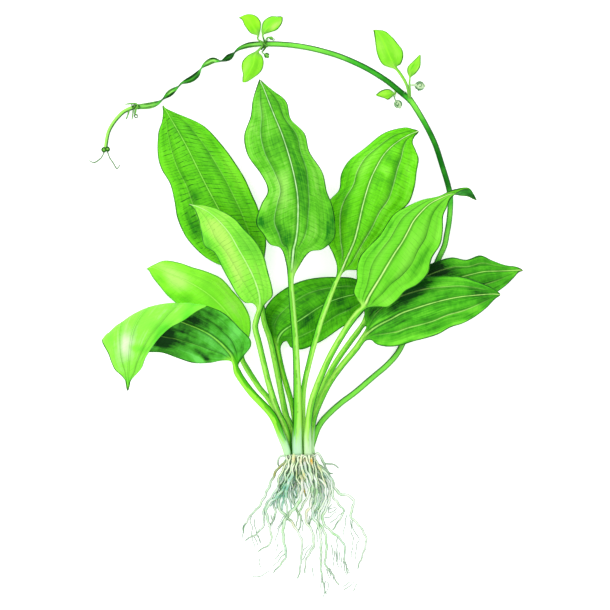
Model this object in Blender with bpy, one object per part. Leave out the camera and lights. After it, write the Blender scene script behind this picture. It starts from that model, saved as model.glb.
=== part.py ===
"""An amazon sword plant, picked and laid on its back: crown, ten leaves, runner, plantlets, roots.

The plant's own coordinates are millimetres: x to the right, y from the crown up to the leaf tips,
z up from the surface that the plant lies on. (0, 0) is the middle of the crown's top disc.
"""

import math

import bmesh
import bpy
from mathutils import Vector

for old in list(bpy.data.objects):
    bpy.data.objects.remove(old, do_unlink=True)

MM = 0.001
GAP = 0.3                 # clearance between pieces that touch

# How far the whole plant reaches, and so where the middle of its box is.
LEFT_REACH = -211.9       # tip of the runner's left tendril
RIGHT_REACH = 224.4       # tip of the back right leaf
TOP_REACH = 440.8         # top plantlet's left leaf
ROOT_REACH = -140.4       # longest root
ORIGIN_X = (LEFT_REACH + RIGHT_REACH) / 2
ORIGIN_Y = (TOP_REACH + ROOT_REACH) / 2

FINE_STEPS = 12           # points that a smooth route has in each stretch between two given ones

# Crown: a short rootstock, flat where the leaf stalks stand on it and domed where the roots leave.
CROWN_HALF_WIDTH = 17.0
CROWN_HALF_DEPTH = 13.4
CROWN_LENGTH = 16.0
CROWN_Z = 14.9
CROWN_SQUARENESS = 4.0
CROWN_SIDES = 16
CROWN_TURNS = (0, 26, 48, 66, 80)     # degrees down the dome at which its rings lie

# Leaf stalks: nearly round, but a broad one is flattened to this depth.
STALK_DEEPEST = 7.2
STALK_ROUNDNESS = 0.95    # depth as a share of width
STALK_INNER_COLUMN = 0.2  # where a ring's inner points lie between middle and side

# Leaf blades.
BLADE_THICKNESS = 1.2
BLADE_SWELL = 0.055       # how far a half blade bulges up, as a share of its half width
SIDE_COLUMN = 0.55        # where a ring's outer points lie between midrib and margin
RIB_WIDEST_SHARE = 0.4    # the most of the narrower half blade that the midrib takes up
RIB_SHARE_OF_STALK = 0.8  # the midrib's width where it leaves the stalk, as a share of its depth
RIB_WIDTH_AT_TIP = 1.2
RIB_DEPTH_AT_TIP = 1.5
RIB_TOP_AT_TIP = 0.7
RIB_TAPER = 1.6           # above 1, the midrib thins fast near the base and slowly near the tip
RIB_SINKS_BY = 1 / 6      # share of the blade by which the midrib's top has sunk into the blade
TIP_SIZE = 0.35           # half size of the last ring, so that a tip is never a single point

# Tubes.
RUNNER_RADIUS = 2.9
MIDDLE_RADII = (2.8, 2.7, 2.6, 2.6)
END_RADII = (2.0, 1.7, 1.5)
RUNNER_WIDTH = 6.2        # of the flat, twisted stretch
RUNNER_THICKNESS = 2.2
ROOT_RUN_DOWN = 48.0      # length over which a root comes down from the crown to the surface
ROOT_TIP_RADIUS = 0.5
ROOT_STEP = 8.0           # spacing of a root's rings
ROOT_CLEARANCE = 0.7      # between roots that cross
ROOT_HUMP = 13.0          # half length of the hump that carries one root over another
ROOT_HUMP_FULLNESS = 1.25  # above 1, the hump has a flat top
ROOT_TAPER = 1.3          # above 1, a root keeps its thickness near the crown
ROOT_TRACE = 1.0          # spacing of the points on which roots are laid over each other
ROOT_START_SLOPE = 0.35   # the most that a root's end slants where it meets the crown
ROOT_SIDES = 8            # points of a root's rim at which its distance to the crown is taken


def linear(red, green, blue):
    """A colour given as 0 to 255 screen values, as the shader's linear values."""
    return [((value / 255 + 0.055) / 1.055) ** 2.4 for value in (red, green, blue)] + [1.0]


def material(name, screen_colour, roughness=0.45):
    """A plain non-metallic finish of one colour."""
    finish = bpy.data.materials.new(name)
    finish.use_nodes = True
    shader = finish.node_tree.nodes["Principled BSDF"]
    shader.inputs["Base Color"].default_value = linear(*screen_colour)
    shader.inputs["Roughness"].default_value = roughness
    shader.inputs["Metallic"].default_value = 0.0
    return finish


def place(point):
    """A point in the plant's millimetres, as metres about the middle of the plant's box."""
    return Vector((point[0] - ORIGIN_X, point[1] - ORIGIN_Y, point[2])) * MM


def smooth_route(points):
    """Points on one smooth curve through the given ones."""
    points = [Vector(point) for point in points]
    ends = [points[0] * 2 - points[1]] + points + [points[-1] * 2 - points[-2]]
    route = []
    for before, start, finish, after in zip(ends, ends[1:], ends[2:], ends[3:]):
        for step in range(FINE_STEPS):
            t = step / FINE_STEPS
            bend = 2 * before - 5 * start + 4 * finish - after
            twist = 3 * start - before - 3 * finish + after
            route.append((2 * start + (finish - before) * t + bend * t * t + twist * t ** 3) / 2)
    return route + [points[-1]]


def loft(name, rings, finish):
    """One closed body: a capped ring of points, extruded from each ring to the next."""
    shape = bmesh.new()
    bmesh.ops.create_circle(shape, cap_ends=True, segments=len(rings[0]), radius=1.0)
    cap = shape.faces[:][0]
    front = [loop.vert for loop in cap.loops]
    for vertex, point in zip(front, rings[0]):
        vertex.co = place(point)
    for number, ring in enumerate(rings[1:]):
        grown = bmesh.ops.extrude_face_region(shape, geom=[cap])["geom"]
        if number:
            bmesh.ops.delete(shape, geom=[cap], context="FACES_ONLY")
        fresh = {item for item in grown if isinstance(item, bmesh.types.BMVert)}
        cap = next(item for item in grown if isinstance(item, bmesh.types.BMFace))
        front = [next(edge.other_vert(vertex) for edge in vertex.link_edges
                      if edge.other_vert(vertex) in fresh) for vertex in front]
        for vertex, point in zip(front, ring):
            vertex.co = place(point)
    bmesh.ops.recalc_face_normals(shape, faces=shape.faces)
    mesh = bpy.data.meshes.new(name)
    shape.to_mesh(mesh)
    shape.free()
    mesh.shade_smooth()
    return piece(name, mesh, finish)


def piece(name, data, finish):
    """A named object in the scene, with its own material."""
    data.materials.append(finish)
    thing = bpy.data.objects.new(name, data)
    bpy.context.collection.objects.link(thing)
    return thing


def tube(name, route, radii, finish, rounding=1):
    """A round stem along a route, with a radius at each of its points and closed ends."""
    data = bpy.data.curves.new(name, "CURVE")
    data.dimensions = "3D"
    data.bevel_depth = MM
    data.bevel_resolution = rounding
    data.use_fill_caps = True
    spline = data.splines.new("POLY")
    spline.points.add(len(route) - 1)
    for knot, point, radius in zip(spline.points, route, radii):
        knot.co = (*place(point), 1.0)
        knot.radius = radius
    return piece(name, data, finish)


def spread(values, count):
    """count values read evenly, in straight runs, from a short list of them."""
    last = len(values) - 1
    result = []
    for index in range(count):
        where = index / (count - 1) * last
        low = min(int(where), last - 1)
        result.append(values[low] + (values[low + 1] - values[low]) * (where - low))
    return result


# ---------------------------------------------------------------- crown

def squared_length(across, up):
    """The length of (across, up) where a rounded square stands for the unit circle."""
    return (abs(across) ** CROWN_SQUARENESS + abs(up) ** CROWN_SQUARENESS) ** (1 / CROWN_SQUARENESS)


def crown_ring(y, share):
    """A ring of the crown, a rounded square across, at a share of its full width."""
    ring = []
    for index in range(CROWN_SIDES):
        turn = 2 * math.pi * index / CROWN_SIDES
        across, up = math.cos(turn), math.sin(turn)
        reach = 1 / squared_length(across, up)
        ring.append((across * reach * CROWN_HALF_WIDTH * share, y,
                     CROWN_Z + up * reach * CROWN_HALF_DEPTH * share))
    return ring


def crown_depth(x, z):
    """How far below its top disc the crown's dome lies at (x, z)."""
    share = min(1.0, squared_length(x / CROWN_HALF_WIDTH, (z - CROWN_Z) / CROWN_HALF_DEPTH))
    return CROWN_LENGTH * math.sqrt(1 - share * share)


def build_crown():
    dome = [math.radians(turn) for turn in CROWN_TURNS]
    rings = [crown_ring(-CROWN_LENGTH * math.sin(turn), math.cos(turn)) for turn in dome]
    loft("crown", rings, material("crown_flesh", (190, 226, 150)))


# ---------------------------------------------------------------- leaves
# A leaf is its stalk, midrib and blade, grown as one. A stalk's row is x, y, z, width, from the
# crown up. A blade's row is three points, left margin, midrib and right margin, from base to tip,
# where left and right are those of someone who looks along the leaf at its upper side.

LEAVES = {
    "leaf_centre": dict(
        colour=(107, 213, 53),
        stalk=((-2.5, 0.3, 23.4, 10.4), (-2.8, 15, 25.2, 10.2), (-2.2, 38, 29, 9.4), (-3, 76, 35, 8),
               (-5.3, 113, 41, 7.2), (-6.6, 150, 46.5, 7)),
        blade=(((-12, 184, 50), (-8.5, 184, 50), (-5, 184, 50)),
               ((-11.4, 197.5, 51), (-7.5, 196, 52), (-2, 193, 51)),
               ((-19, 206.5, 51), (-6, 206, 54), (9, 203, 52)),
               ((-29, 210.5, 51), (-4.5, 213, 56), (22, 206, 52)),
               ((-35.5, 220, 52), (-2.8, 224, 59), (33.5, 216, 53)),
               ((-43.5, 232, 54), (-2, 238, 63), (34.5, 230, 55)),
               ((-38, 250, 58), (-2, 253, 66), (31.5, 249, 58)),
               ((-31.5, 264, 60), (-3.5, 267, 68), (26.5, 263, 60)),
               ((-39, 281, 58), (-7, 284, 69), (21.5, 282, 61)),
               ((-51.5, 300, 57), (-12, 302, 69), (9.5, 302, 63)),
               ((-55.3, 318, 58), (-18, 320, 68), (4, 320, 62)),
               ((-48.5, 337, 60), (-25, 337, 66), (-9, 335, 61)),
               ((-47, 353, 58), (-31, 352, 62), (-14, 352, 58)),
               ((-43, 366, 56), (-36, 365, 57.5), (-27, 363.5, 55)),
               ((-41, 372, 54), (-39, 371.5, 54.5), (-36, 371, 54)),
               ((-40, 375, 53), (-40, 375, 53), (-40, 375, 53)))),
    "leaf_back_left": dict(
        colour=(92, 200, 34),
        stalk=((-3.8, 0.3, 15, 6.8), (-4.5, 12, 13.9, 6.6), (-7.4, 23, 13.2, 6.4), (-11, 33, 13.2, 6.3),
               (-14.7, 42, 13.4, 6.2), (-21.5, 76, 13.5, 6), (-30, 113, 13.6, 6), (-36, 132, 13.8, 6)),
        blade=(((-41.5, 150, 14), (-38.5, 150, 14.2), (-35.5, 150, 14)),
               ((-49, 168, 13), (-42, 166, 15), (-36.5, 167, 15)),
               ((-66, 184, 12), (-48, 180, 16), (-37, 182, 16)),
               ((-84, 192, 11), (-54, 194, 17.5), (-36, 197, 18)),
               ((-99, 202, 9.5), (-61, 208, 19), (-34.5, 213, 21)),
               ((-114, 218, 8), (-69, 223, 20), (-37.5, 230, 23)),
               ((-122, 236, 7), (-78, 240, 20.5), (-43, 248, 25)),
               ((-125, 253, 6.5), (-85, 253, 20), (-48.5, 260, 25)),
               ((-130, 271, 6), (-94, 270, 19), (-56, 277, 24)),
               ((-138.5, 287, 5.5), (-103, 288, 17.5), (-66, 293, 22)),
               ((-142.5, 304, 5), (-113, 308, 15), (-80, 310, 18)),
               ((-142, 322, 4.5), (-122.5, 325, 12), (-93, 326, 14)),
               ((-138, 334, 4.5), (-129, 336, 9), (-109, 334, 10.5)),
               ((-137, 343, 5), (-133, 343, 7.5), (-126, 342, 7.5)),
               ((-137, 347, 6), (-136, 347, 6.5), (-134, 346, 6.5)),
               ((-137, 349, 6.2), (-137, 349, 6.2), (-137, 349, 6.2)))),
    "leaf_upper_right": dict(
        colour=(96, 196, 44),
        stalk=((3.8, 0.3, 15, 6.6), (3.2, 15, 16.4, 6.2), (2.6, 38, 18.5, 5.8), (3.6, 65.6, 21, 5.6),
               (9.6, 94, 23.2, 5.6), (19.5, 130, 25.2, 5.8), (26.5, 150, 26, 6)),
        blade=(((32, 170, 26.5), (35, 171, 26.8), (38, 172.5, 26.5)),
               ((36.5, 180, 26.5), (41, 183, 28), (45, 184, 27)),
               ((37, 191, 26.5), (46, 195, 29), (57, 186, 27)),
               ((33.5, 202, 26), (51, 206, 30), (62, 195, 28)),
               ((28, 213, 25), (55, 216, 31), (70, 208, 30)),
               ((24, 228, 24), (58.5, 230, 31), (83, 223, 31)),
               ((23.5, 242, 23.5), (62, 246, 31), (95, 240, 33)),
               ((30, 255, 24), (66, 261, 31), (108, 252, 34)),
               ((39.5, 266, 25), (70.5, 275, 31), (114, 268, 34)),
               ((42, 281, 25), (76, 287, 31), (116, 283, 33)),
               ((50, 295, 25.5), (83, 299, 31), (118, 296, 32)),
               ((66, 308, 27), (91, 308, 31), (115, 305, 31)),
               ((84, 321.5, 28), (101, 315.5, 31), (112, 313, 30)),
               ((104, 327, 28), (110, 320.5, 29.5), (114.5, 319, 29)),
               ((114, 325.5, 28), (116, 323, 28.2), (117, 321.5, 28)),
               ((119, 324, 27.5), (119, 324, 27.5), (119, 324, 27.5)))),
    "leaf_right": dict(
        colour=(118, 222, 54),
        stalk=((8.1, 0.3, 23.4, 8.6), (7.8, 12, 25.6, 8.2), (8, 25, 28, 7.6), (12, 56, 33.5, 6.8),
               (25, 95, 39.5, 6.4), (41, 124, 43.5, 6.4), (55, 141.5, 45.6, 6.6)),
        blade=(((60.5, 148.5, 46.5), (63, 147, 46.5), (66, 145.5, 46.5)),
               ((57, 156, 46), (66, 152.5, 48), (78, 148.5, 47)),
               ((54, 163.5, 46), (69, 159, 49.5), (87, 148.5, 48)),
               ((57, 175, 48), (74, 167.5, 52), (95.5, 154, 50)),
               ((57, 187, 50), (81, 179, 55), (105, 164.5, 52)),
               ((61, 199, 52), (88, 191, 58), (117, 171, 55)),
               ((71, 210, 54), (95, 202.5, 61), (126.5, 181, 57)),
               ((79.5, 219, 56), (102, 213, 64), (131, 197, 60)),
               ((87, 231, 58), (108, 224, 66), (139, 210.5, 62)),
               ((94, 240, 60), (113, 233.5, 68), (141.5, 224, 64)),
               ((106, 247, 63), (121, 243, 69), (142, 238, 66)),
               ((122, 254.5, 65), (130, 251, 69), (145.5, 247, 67.5)),
               ((138, 258.5, 67), (142, 257, 69), (148.5, 254.5, 69.5)),
               ((150, 263.2, 66.5), (152, 260.3, 67.5), (153.2, 258.7, 72)),
               ((157, 265.2, 66), (160, 259.3, 66), (157.6, 262.4, 74)),
               ((163, 266.3, 65), (167, 258.6, 64.5), (163.5, 265.2, 74)),
               ((168.5, 265.8, 63), (172, 256.3, 62), (169.3, 264.6, 71.5)),
               ((172.6, 261, 61), (174.3, 255.2, 60), (172.8, 260.2, 66)),
               ((176.3, 254, 60), (176.3, 254, 60), (176.3, 254, 60)))),
    "leaf_low_left": dict(
        colour=(154, 246, 76),
        stalk=((-9.4, 0.3, 6.7, 6.2), (-12, 14, 7, 6), (-20, 34, 7.4, 5.8), (-31, 55, 7.8, 5.6),
               (-40, 66, 8.2, 5.6), (-46, 75, 8.6, 5.6), (-53, 86, 9.1, 5.8)),
        blade=(((-62, 96.5, 9.5), (-59, 97.5, 9.6), (-56, 98.5, 9.5)),
               ((-69, 103, 9), (-60, 108, 10.5), (-53, 112, 10)),
               ((-80, 110, 9), (-62, 119, 12), (-50, 124, 11.5)),
               ((-92, 119, 9), (-66, 131, 13), (-51, 138, 12.5)),
               ((-104, 130, 8.5), (-73, 142, 13.5), (-58, 152, 12.5)),
               ((-114, 141, 8), (-81, 151, 13.5), (-68, 164, 12)),
               ((-123, 151, 7), (-91, 160, 13), (-79, 176, 10.5)),
               ((-133, 160, 6), (-102, 167.5, 12), (-93, 182.5, 8.5)),
               ((-141, 170, 5), (-114, 174, 10), (-107, 187, 6)),
               ((-147.5, 178, 4), (-127, 179, 7.5), (-121, 192, 3.6)),
               ((-151, 184, 2.8), (-139, 184, 4.8), (-135.5, 194, 1.6)),
               ((-153, 186, 2.2), (-148, 187.5, 2.8), (-146, 190.5, 1.2)),
               ((-154.5, 186, 1.8), (-154.5, 186, 1.8), (-154.5, 186, 1.8)))),
    "leaf_front_left": dict(
        colour=(160, 246, 78),
        stalk=((-11.1, 0.3, 15, 6.8), (-11.3, 10, 16.6, 6.8), (-12.2, 19, 18.6, 6.9), (-16, 30.5, 20.8, 6.9),
               (-21.8, 42, 22.6, 6.6), (-30, 67, 26, 6.2), (-36.5, 93, 28.6, 6), (-41, 112, 30.4, 6),
               (-44.7, 127, 31.8, 6), (-43.3, 136, 32.6, 6)),
        blade=(((-43.4, 146, 33.2), (-40.4, 146, 33.4), (-37.4, 146, 33.2)),
               ((-47, 151.5, 33), (-39.9, 151, 34.8), (-33.5, 152.5, 34)),
               ((-55, 152.8, 33), (-40.5, 158, 36), (-28, 159, 35)),
               ((-62.8, 161, 33), (-42.5, 167, 37.5), (-28.5, 168, 37)),
               ((-71, 176, 33.5), (-47, 179, 39), (-32.5, 183, 39)),
               ((-78.5, 190, 34), (-54, 193, 40), (-37, 200, 41)),
               ((-85.5, 202.5, 34), (-62, 207, 41), (-45, 214, 43)),
               ((-95, 210, 34), (-70, 221, 41), (-56.5, 226, 43.5)),
               ((-99, 226, 34), (-80, 233, 40.5), (-66, 236.5, 43)),
               ((-101, 236, 34.5), (-90, 242, 39), (-79, 244, 41)),
               ((-104.5, 245, 35), (-100, 247.5, 37), (-92.5, 248.7, 38)),
               ((-111, 251, 35), (-111, 251, 35), (-111, 251, 35)))),
    "leaf_folded_left": dict(
        colour=(128, 226, 82),
        upper_side_down_at_base=True,
        stalk=((-12.4, 0.3, 23.2, 7.4), (-14, 7, 24, 7.6), (-18.6, 19, 25.2, 8), (-28.4, 39.5, 27.4, 7.8),
               (-46.4, 60.7, 29.8, 7.5), (-57, 75, 31.4, 7.3), (-62, 84, 32.2, 7.3)),
        blade=(((-61.5, 90.2, 33), (-64.9, 91.5, 33), (-68.2, 92.8, 33)),
               ((-56, 99.5, 35), (-68, 99.5, 34), (-77, 94.6, 33)),
               ((-49.8, 108.5, 37), (-73, 106, 35), (-90, 92.5, 32)),
               ((-50.8, 116.5, 38), (-81, 114, 35.5), (-106, 92.5, 31)),
               ((-60, 126, 39), (-91, 121.5, 36), (-121, 97, 31)),
               ((-70, 136.5, 40), (-104, 128, 36), (-137, 102.5, 31)),
               ((-79, 143, 41), (-119, 134, 37), (-153, 103.5, 32)),
               ((-86.5, 146.5, 42.5), (-134, 140, 38.5), (-170, 107, 33.5)),
               ((-90.5, 148.5, 45), (-145, 145.3, 42), (-186, 112, 37)),
               ((-92.5, 149.3, 50), (-150, 147.8, 48.5), (-196, 115.8, 43)),
               ((-94, 148, 55.5), (-151, 145.5, 55), (-196.3, 112.5, 49)),
               ((-103, 143.5, 59.5), (-153, 136.5, 59.5), (-193.5, 107, 52.5)),
               ((-115, 135, 61.5), (-156, 125, 61.5), (-190.5, 101, 54)),
               ((-129, 127.5, 61.5), (-159.5, 112, 61), (-188, 94, 53.5)),
               ((-142, 115, 59), (-163, 99.5, 58.5), (-184, 86, 52)),
               ((-155, 98.5, 54), (-166.5, 87, 54), (-178, 79, 49.5)),
               ((-160, 85.5, 49), (-169, 77.5, 49), (-175, 73.5, 46)),
               ((-168, 76, 45), (-171, 70.5, 44.5), (-173.5, 69, 43.5)),
               ((-172, 64, 41), (-172, 64, 41), (-172, 64, 41)))),
    "leaf_behind_centre": dict(
        colour=(68, 160, 29),
        stalk=((-2.8, 0.3, 6.7, 5.8), (-3.5, 15, 7, 5.8), (-5, 32, 7.5, 5.6), (-8, 50, 8.2, 5.6),
               (-12.5, 66, 8.7, 5.6), (-17, 81, 9.2, 5.6), (-20.5, 96, 9.6, 5.6)),
        blade=(((-25, 107.5, 10), (-22.2, 107, 10), (-19.4, 106.5, 10)),
               ((-28, 117, 9), (-22.2, 114, 10.6), (-17, 112.5, 10)),
               ((-32.5, 127, 8), (-20, 120, 11.3), (-13, 113.5, 10)),
               ((-37, 137, 7), (-15.5, 125, 12), (-9.5, 108, 9.5)),
               ((-34, 147.5, 7), (-8, 130, 12.8), (1, 106, 9)),
               ((-25, 158.5, 7.6), (0, 135, 13.4), (11, 109.5, 8)),
               ((-11, 168, 8), (9, 141, 13.6), (22, 114.5, 7)),
               ((5, 174.5, 8.2), (18, 147, 13.4), (32, 121, 6)),
               ((23, 177.5, 8), (28, 152.5, 12.6), (43, 129, 5)),
               ((40, 177.5, 7.5), (40, 157, 11.4), (54, 134.5, 4)),
               ((54, 176, 7), (52, 160, 9.8), (62, 141.5, 3.2)),
               ((65, 170, 6), (63, 161.5, 7.5), (69, 151, 2.8)),
               ((70, 165.5, 4.6), (70, 162.3, 5), (71.4, 158.5, 3.8)),
               ((73, 162.5, 4), (73, 162.5, 4), (73, 162.5, 4)))),
    "leaf_back_right": dict(
        colour=(66, 160, 40),
        stalk=((3.6, 0.3, 6.7, 6.2), (5, 20, 7.6, 6), (9.5, 42, 8.8, 5.8), (17, 63, 10, 5.6),
               (29, 91, 11.5, 5.6), (44, 113, 12.7, 5.6), (53, 122.5, 13.2, 5.6)),
        blade=(((60, 132.5, 13.5), (62, 130.5, 13.6), (64, 128.5, 13.5)),
               ((67, 145, 12.5), (72, 139, 14.4), (76, 131, 13)),
               ((78, 157, 12.5), (84, 146, 15), (91, 133, 12.5)),
               ((90, 167.5, 12.5), (97, 153, 15.5), (106, 136, 12.2)),
               ((104, 177, 12.5), (111, 159.5, 15.6), (121, 141, 11.6)),
               ((119, 185, 12.3), (126, 166, 15.2), (136, 146, 11)),
               ((134.5, 192, 12), (141, 172, 14.6), (151, 151, 10.4)),
               ((152, 197, 11), (156, 176.5, 13.6), (166, 155, 9.6)),
               ((167, 195, 9.5), (171, 180.5, 11.8), (180, 158.5, 8)),
               ((180.5, 199, 7.5), (185, 183.5, 9.6), (194, 162, 6)),
               ((192, 194.5, 5.2), (198, 184, 7), (205.5, 169, 3.8)),
               ((207, 189.7, 3), (211, 184.5, 4), (214, 177.5, 2.2)),
               ((217, 188, 2), (218, 185, 2.4), (219, 183, 1.6)),
               ((224, 185, 1.2), (224, 185, 1.2), (224, 185, 1.2)))),
    "leaf_front_right": dict(
        colour=(84, 182, 46),
        stalk=((11.6, 0.3, 15, 7), (10.9, 10, 16, 6.8), (11.6, 20, 17.6, 6.6), (15.5, 40, 20.6, 6.4),
               (28, 68, 24, 6.2), (40, 87, 25.7, 6.2), (49, 99, 26.6, 6.2), (56, 107.5, 27, 6.2)),
        blade=(((60.3, 118, 27), (62.8, 115.8, 27), (65.2, 113.6, 27)),
               ((66, 127, 26), (67, 121, 28), (71, 115, 27)),
               ((65, 137, 26), (73, 126, 29), (77, 111, 27.5)),
               ((65.5, 148, 26.5), (81, 131, 30), (88, 109, 28)),
               ((75, 160, 27.5), (91, 136, 31), (101, 110.5, 28)),
               ((89, 169, 28.5), (102, 142, 31.6), (113, 114, 27.5)),
               ((106, 175, 29), (115, 146.5, 32), (125, 117, 26.5)),
               ((124, 178, 29), (129, 151, 32), (138, 121.5, 25.5)),
               ((143, 178.5, 28.5), (144, 155, 31.6), (150, 128, 25)),
               ((160, 178, 28), (159, 158, 30.8), (163, 132, 24.6)),
               ((174, 174.5, 27.2), (172, 159.5, 29.6), (175, 139, 24.4)),
               ((186, 169.5, 26.2), (184, 160.5, 28), (187, 148.5, 24.4)),
               ((195, 165, 25), (193, 161, 26.2), (194.5, 156, 24.6)),
               ((200.6, 160.3, 24.4), (200.6, 160.3, 24.4), (200.6, 160.3, 24.4)))),
}

PLANTLET_LEAVES = {
    "plantlet_right_leaf_large": dict(
        colour=(154, 245, 62),
        stalk=((106.4, 363.5, 8, 3.2), (104.6, 373, 7.8, 3.1), (99.8, 382.5, 7.4, 3)),
        blade=(((94.4, 386.5, 7), (95.6, 387.8, 7), (96.8, 389.2, 7)),
               ((83.8, 391, 6), (92.5, 394, 7.6), (100.3, 391.5, 6.4)),
               ((79, 397.5, 5.4), (89.5, 400, 8), (102.2, 398.5, 6.4)),
               ((77.2, 405.5, 5), (86.5, 406.5, 8), (101, 406, 6)),
               ((76, 413.5, 4.6), (83.5, 413, 7.4), (95, 415, 5)),
               ((75.2, 419, 4.4), (79.5, 419.5, 6), (87, 421.5, 4.2)),
               ((74, 425, 4), (74, 425, 4), (74, 425, 4)))),
    "plantlet_right_leaf_small": dict(
        colour=(158, 245, 70),
        stalk=((110, 364.5, 8, 2.4), (109.3, 371, 7.6, 2.3), (109.2, 376.5, 7.4, 2.2)),
        blade=(((108.4, 379, 7.2), (109.3, 379.2, 7.2), (110.2, 379.1, 7.2)),
               ((107.6, 383.2, 6.4), (111, 384.2, 7.6), (115.3, 383.2, 6.6)),
               ((108.4, 388.8, 6), (113.2, 389.2, 7.4), (118.4, 388.2, 6)),
               ((113.5, 394, 5.4), (116.2, 394.2, 6.4), (119.4, 393.6, 5)),
               ((118.6, 400, 4.4), (118.6, 400, 4.4), (118.6, 400, 4.4)))),
    "plantlet_right_leaf_low": dict(
        colour=(150, 240, 60),
        stalk=((95.7, 364.9, 3.3, 1.7), (95.6, 363.9, 3.6, 1.8)),
        blade=(((96, 361.8, 3.8), (95.2, 362.4, 4), (94.6, 363.2, 3.8)),
               ((91.8, 358.8, 3.2), (91.4, 362.4, 4.4), (90.4, 366.2, 3)),
               ((88, 356.6, 2.8), (86.6, 361.6, 4.4), (85.6, 366, 2.6)),
               ((83.6, 358.6, 2.4), (82, 361.2, 3.6), (80.4, 364, 2.2)),
               ((76.2, 360.6, 2), (76.2, 360.6, 2), (76.2, 360.6, 2)))),
    "plantlet_top_leaf_left": dict(
        colour=(140, 236, 56),
        stalk=((-38.2, 414.6, 8, 2.2), (-42, 416.6, 7.8, 2.2), (-42.8, 419, 7.4, 2.2)),
        blade=(((-43.8, 421.4, 7), (-42.6, 421.6, 7), (-41.5, 421.8, 7)),
               ((-50.5, 422.8, 5.6), (-45.5, 425, 7.8), (-40, 427.4, 6)),
               ((-55, 429.6, 4.8), (-48.6, 430.4, 8), (-40.2, 434, 5.6)),
               ((-56.8, 434.6, 4.2), (-52.4, 435.4, 7), (-45, 439.4, 5)),
               ((-58.4, 436.8, 3.6), (-56.6, 437.6, 5), (-52.4, 440.4, 4)),
               ((-60.6, 438, 3.2), (-60.6, 438, 3.2), (-60.6, 438, 3.2)))),
    "plantlet_top_leaf_right": dict(
        colour=(150, 244, 66),
        stalk=((-35.2, 415.4, 8, 2.2), (-35.8, 418, 7.8, 2.2)),
        blade=(((-37.2, 420.4, 7.4), (-36.1, 420.6, 7.4), (-35.1, 420.6, 7.4)),
               ((-37.9, 426, 6), (-33, 425.2, 7.8), (-29, 423, 6)),
               ((-35.8, 433.6, 5.2), (-28.6, 430, 7.8), (-23.6, 425.4, 5.4)),
               ((-29, 438.4, 4.6), (-24, 434, 6.6), (-19.6, 430.6, 4.6)),
               ((-22, 438.8, 4), (-20.4, 436.6, 4.6), (-18.4, 434.6, 4)),
               ((-18.4, 438.6, 3.6), (-18.4, 438.6, 3.6), (-18.4, 438.6, 3.6)))),
    "plantlet_top_leaf_low": dict(
        colour=(148, 240, 58),
        stalk=((-37.2, 409.4, 8, 2.8), (-39.6, 406.6, 7.6, 2.8)),
        blade=(((-40.6, 402.8, 7), (-42.2, 403.6, 7), (-43.8, 404.4, 7)),
               ((-38, 397.4, 5.6), (-44.4, 397.8, 8.2), (-50.8, 399.4, 6)),
               ((-37, 389.8, 5), (-46.4, 390.4, 8.4), (-56, 393.2, 5.4)),
               ((-39, 384, 4.6), (-49.4, 383.6, 8), (-57.6, 386.2, 4.8)),
               ((-44.6, 378.6, 4.2), (-52.8, 378.2, 6.6), (-56.8, 380.4, 4.2)),
               ((-52.4, 374.4, 3.8), (-55.4, 374.8, 4.6), (-57, 376.4, 3.6)),
               ((-57.2, 373.2, 3.4), (-57.2, 373.2, 3.4), (-57.2, 373.2, 3.4)))),
}


def stalk_ring(middle, side, up, width, depth):
    """An oval ring with the same points across as a blade's ring."""
    ring = []
    for across, face in ring_columns(STALK_INNER_COLUMN):
        height = face * depth / 2 * math.sqrt(1 - across * across)
        ring.append(middle + side * (across * width / 2) + up * height)
    return ring


def ring_columns(inner):
    """Places across a leaf, -1 to 1, and the face, 1 upper or -1 lower, once round the leaf."""
    upper = (-SIDE_COLUMN, -inner, inner, SIDE_COLUMN)
    over = [(across, 1) for across in upper]
    under = [(across, -1) for across in reversed(upper)]
    return [(-1.0, 0)] + over + [(1.0, 0)] + under


def blade_ring(left, rib, right, along, share, stalk_depth):
    """A ring round the blade: margins, a thin web on each side, and the midrib's bulge."""
    up_left = (rib - left).cross(along).normalized()
    up_right = (right - rib).cross(along).normalized()
    up_rib = (up_left + up_right).normalized()
    taper = (1 - share) ** RIB_TAPER
    rib_width = RIB_WIDTH_AT_TIP + (stalk_depth * RIB_SHARE_OF_STALK - RIB_WIDTH_AT_TIP) * taper
    rib_depth = RIB_DEPTH_AT_TIP + (stalk_depth - RIB_DEPTH_AT_TIP) * taper
    still_proud = max(0.0, 1 - share / RIB_SINKS_BY)
    rib_top = min(rib_depth / 2, RIB_TOP_AT_TIP + rib_depth / 2 * still_proud)
    narrower = min((left - rib).length, (right - rib).length)
    ring = []
    for across, face in ring_columns(min(RIB_WIDEST_SHARE, rib_width / 2 / narrower)):
        margin, up = (left, up_left) if across < 0 else (right, up_right)
        reach = abs(across)
        swell = BLADE_SWELL * 4 * reach * (1 - reach) * (margin - rib).length
        height = swell + face * BLADE_THICKNESS / 2
        if face and reach < SIDE_COLUMN:
            height = rib_top if face > 0 else rib_top - rib_depth
            up = up_rib
        ring.append(rib.lerp(margin, reach) + up * height)
    return ring


def tip_ring(point, side, up):
    """The last, tiny ring of a leaf."""
    return stalk_ring(point, side, up, TIP_SIZE * 2, TIP_SIZE * 2)


def depth_of_stalk(width):
    return min(width * STALK_ROUNDNESS, STALK_DEEPEST)


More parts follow.
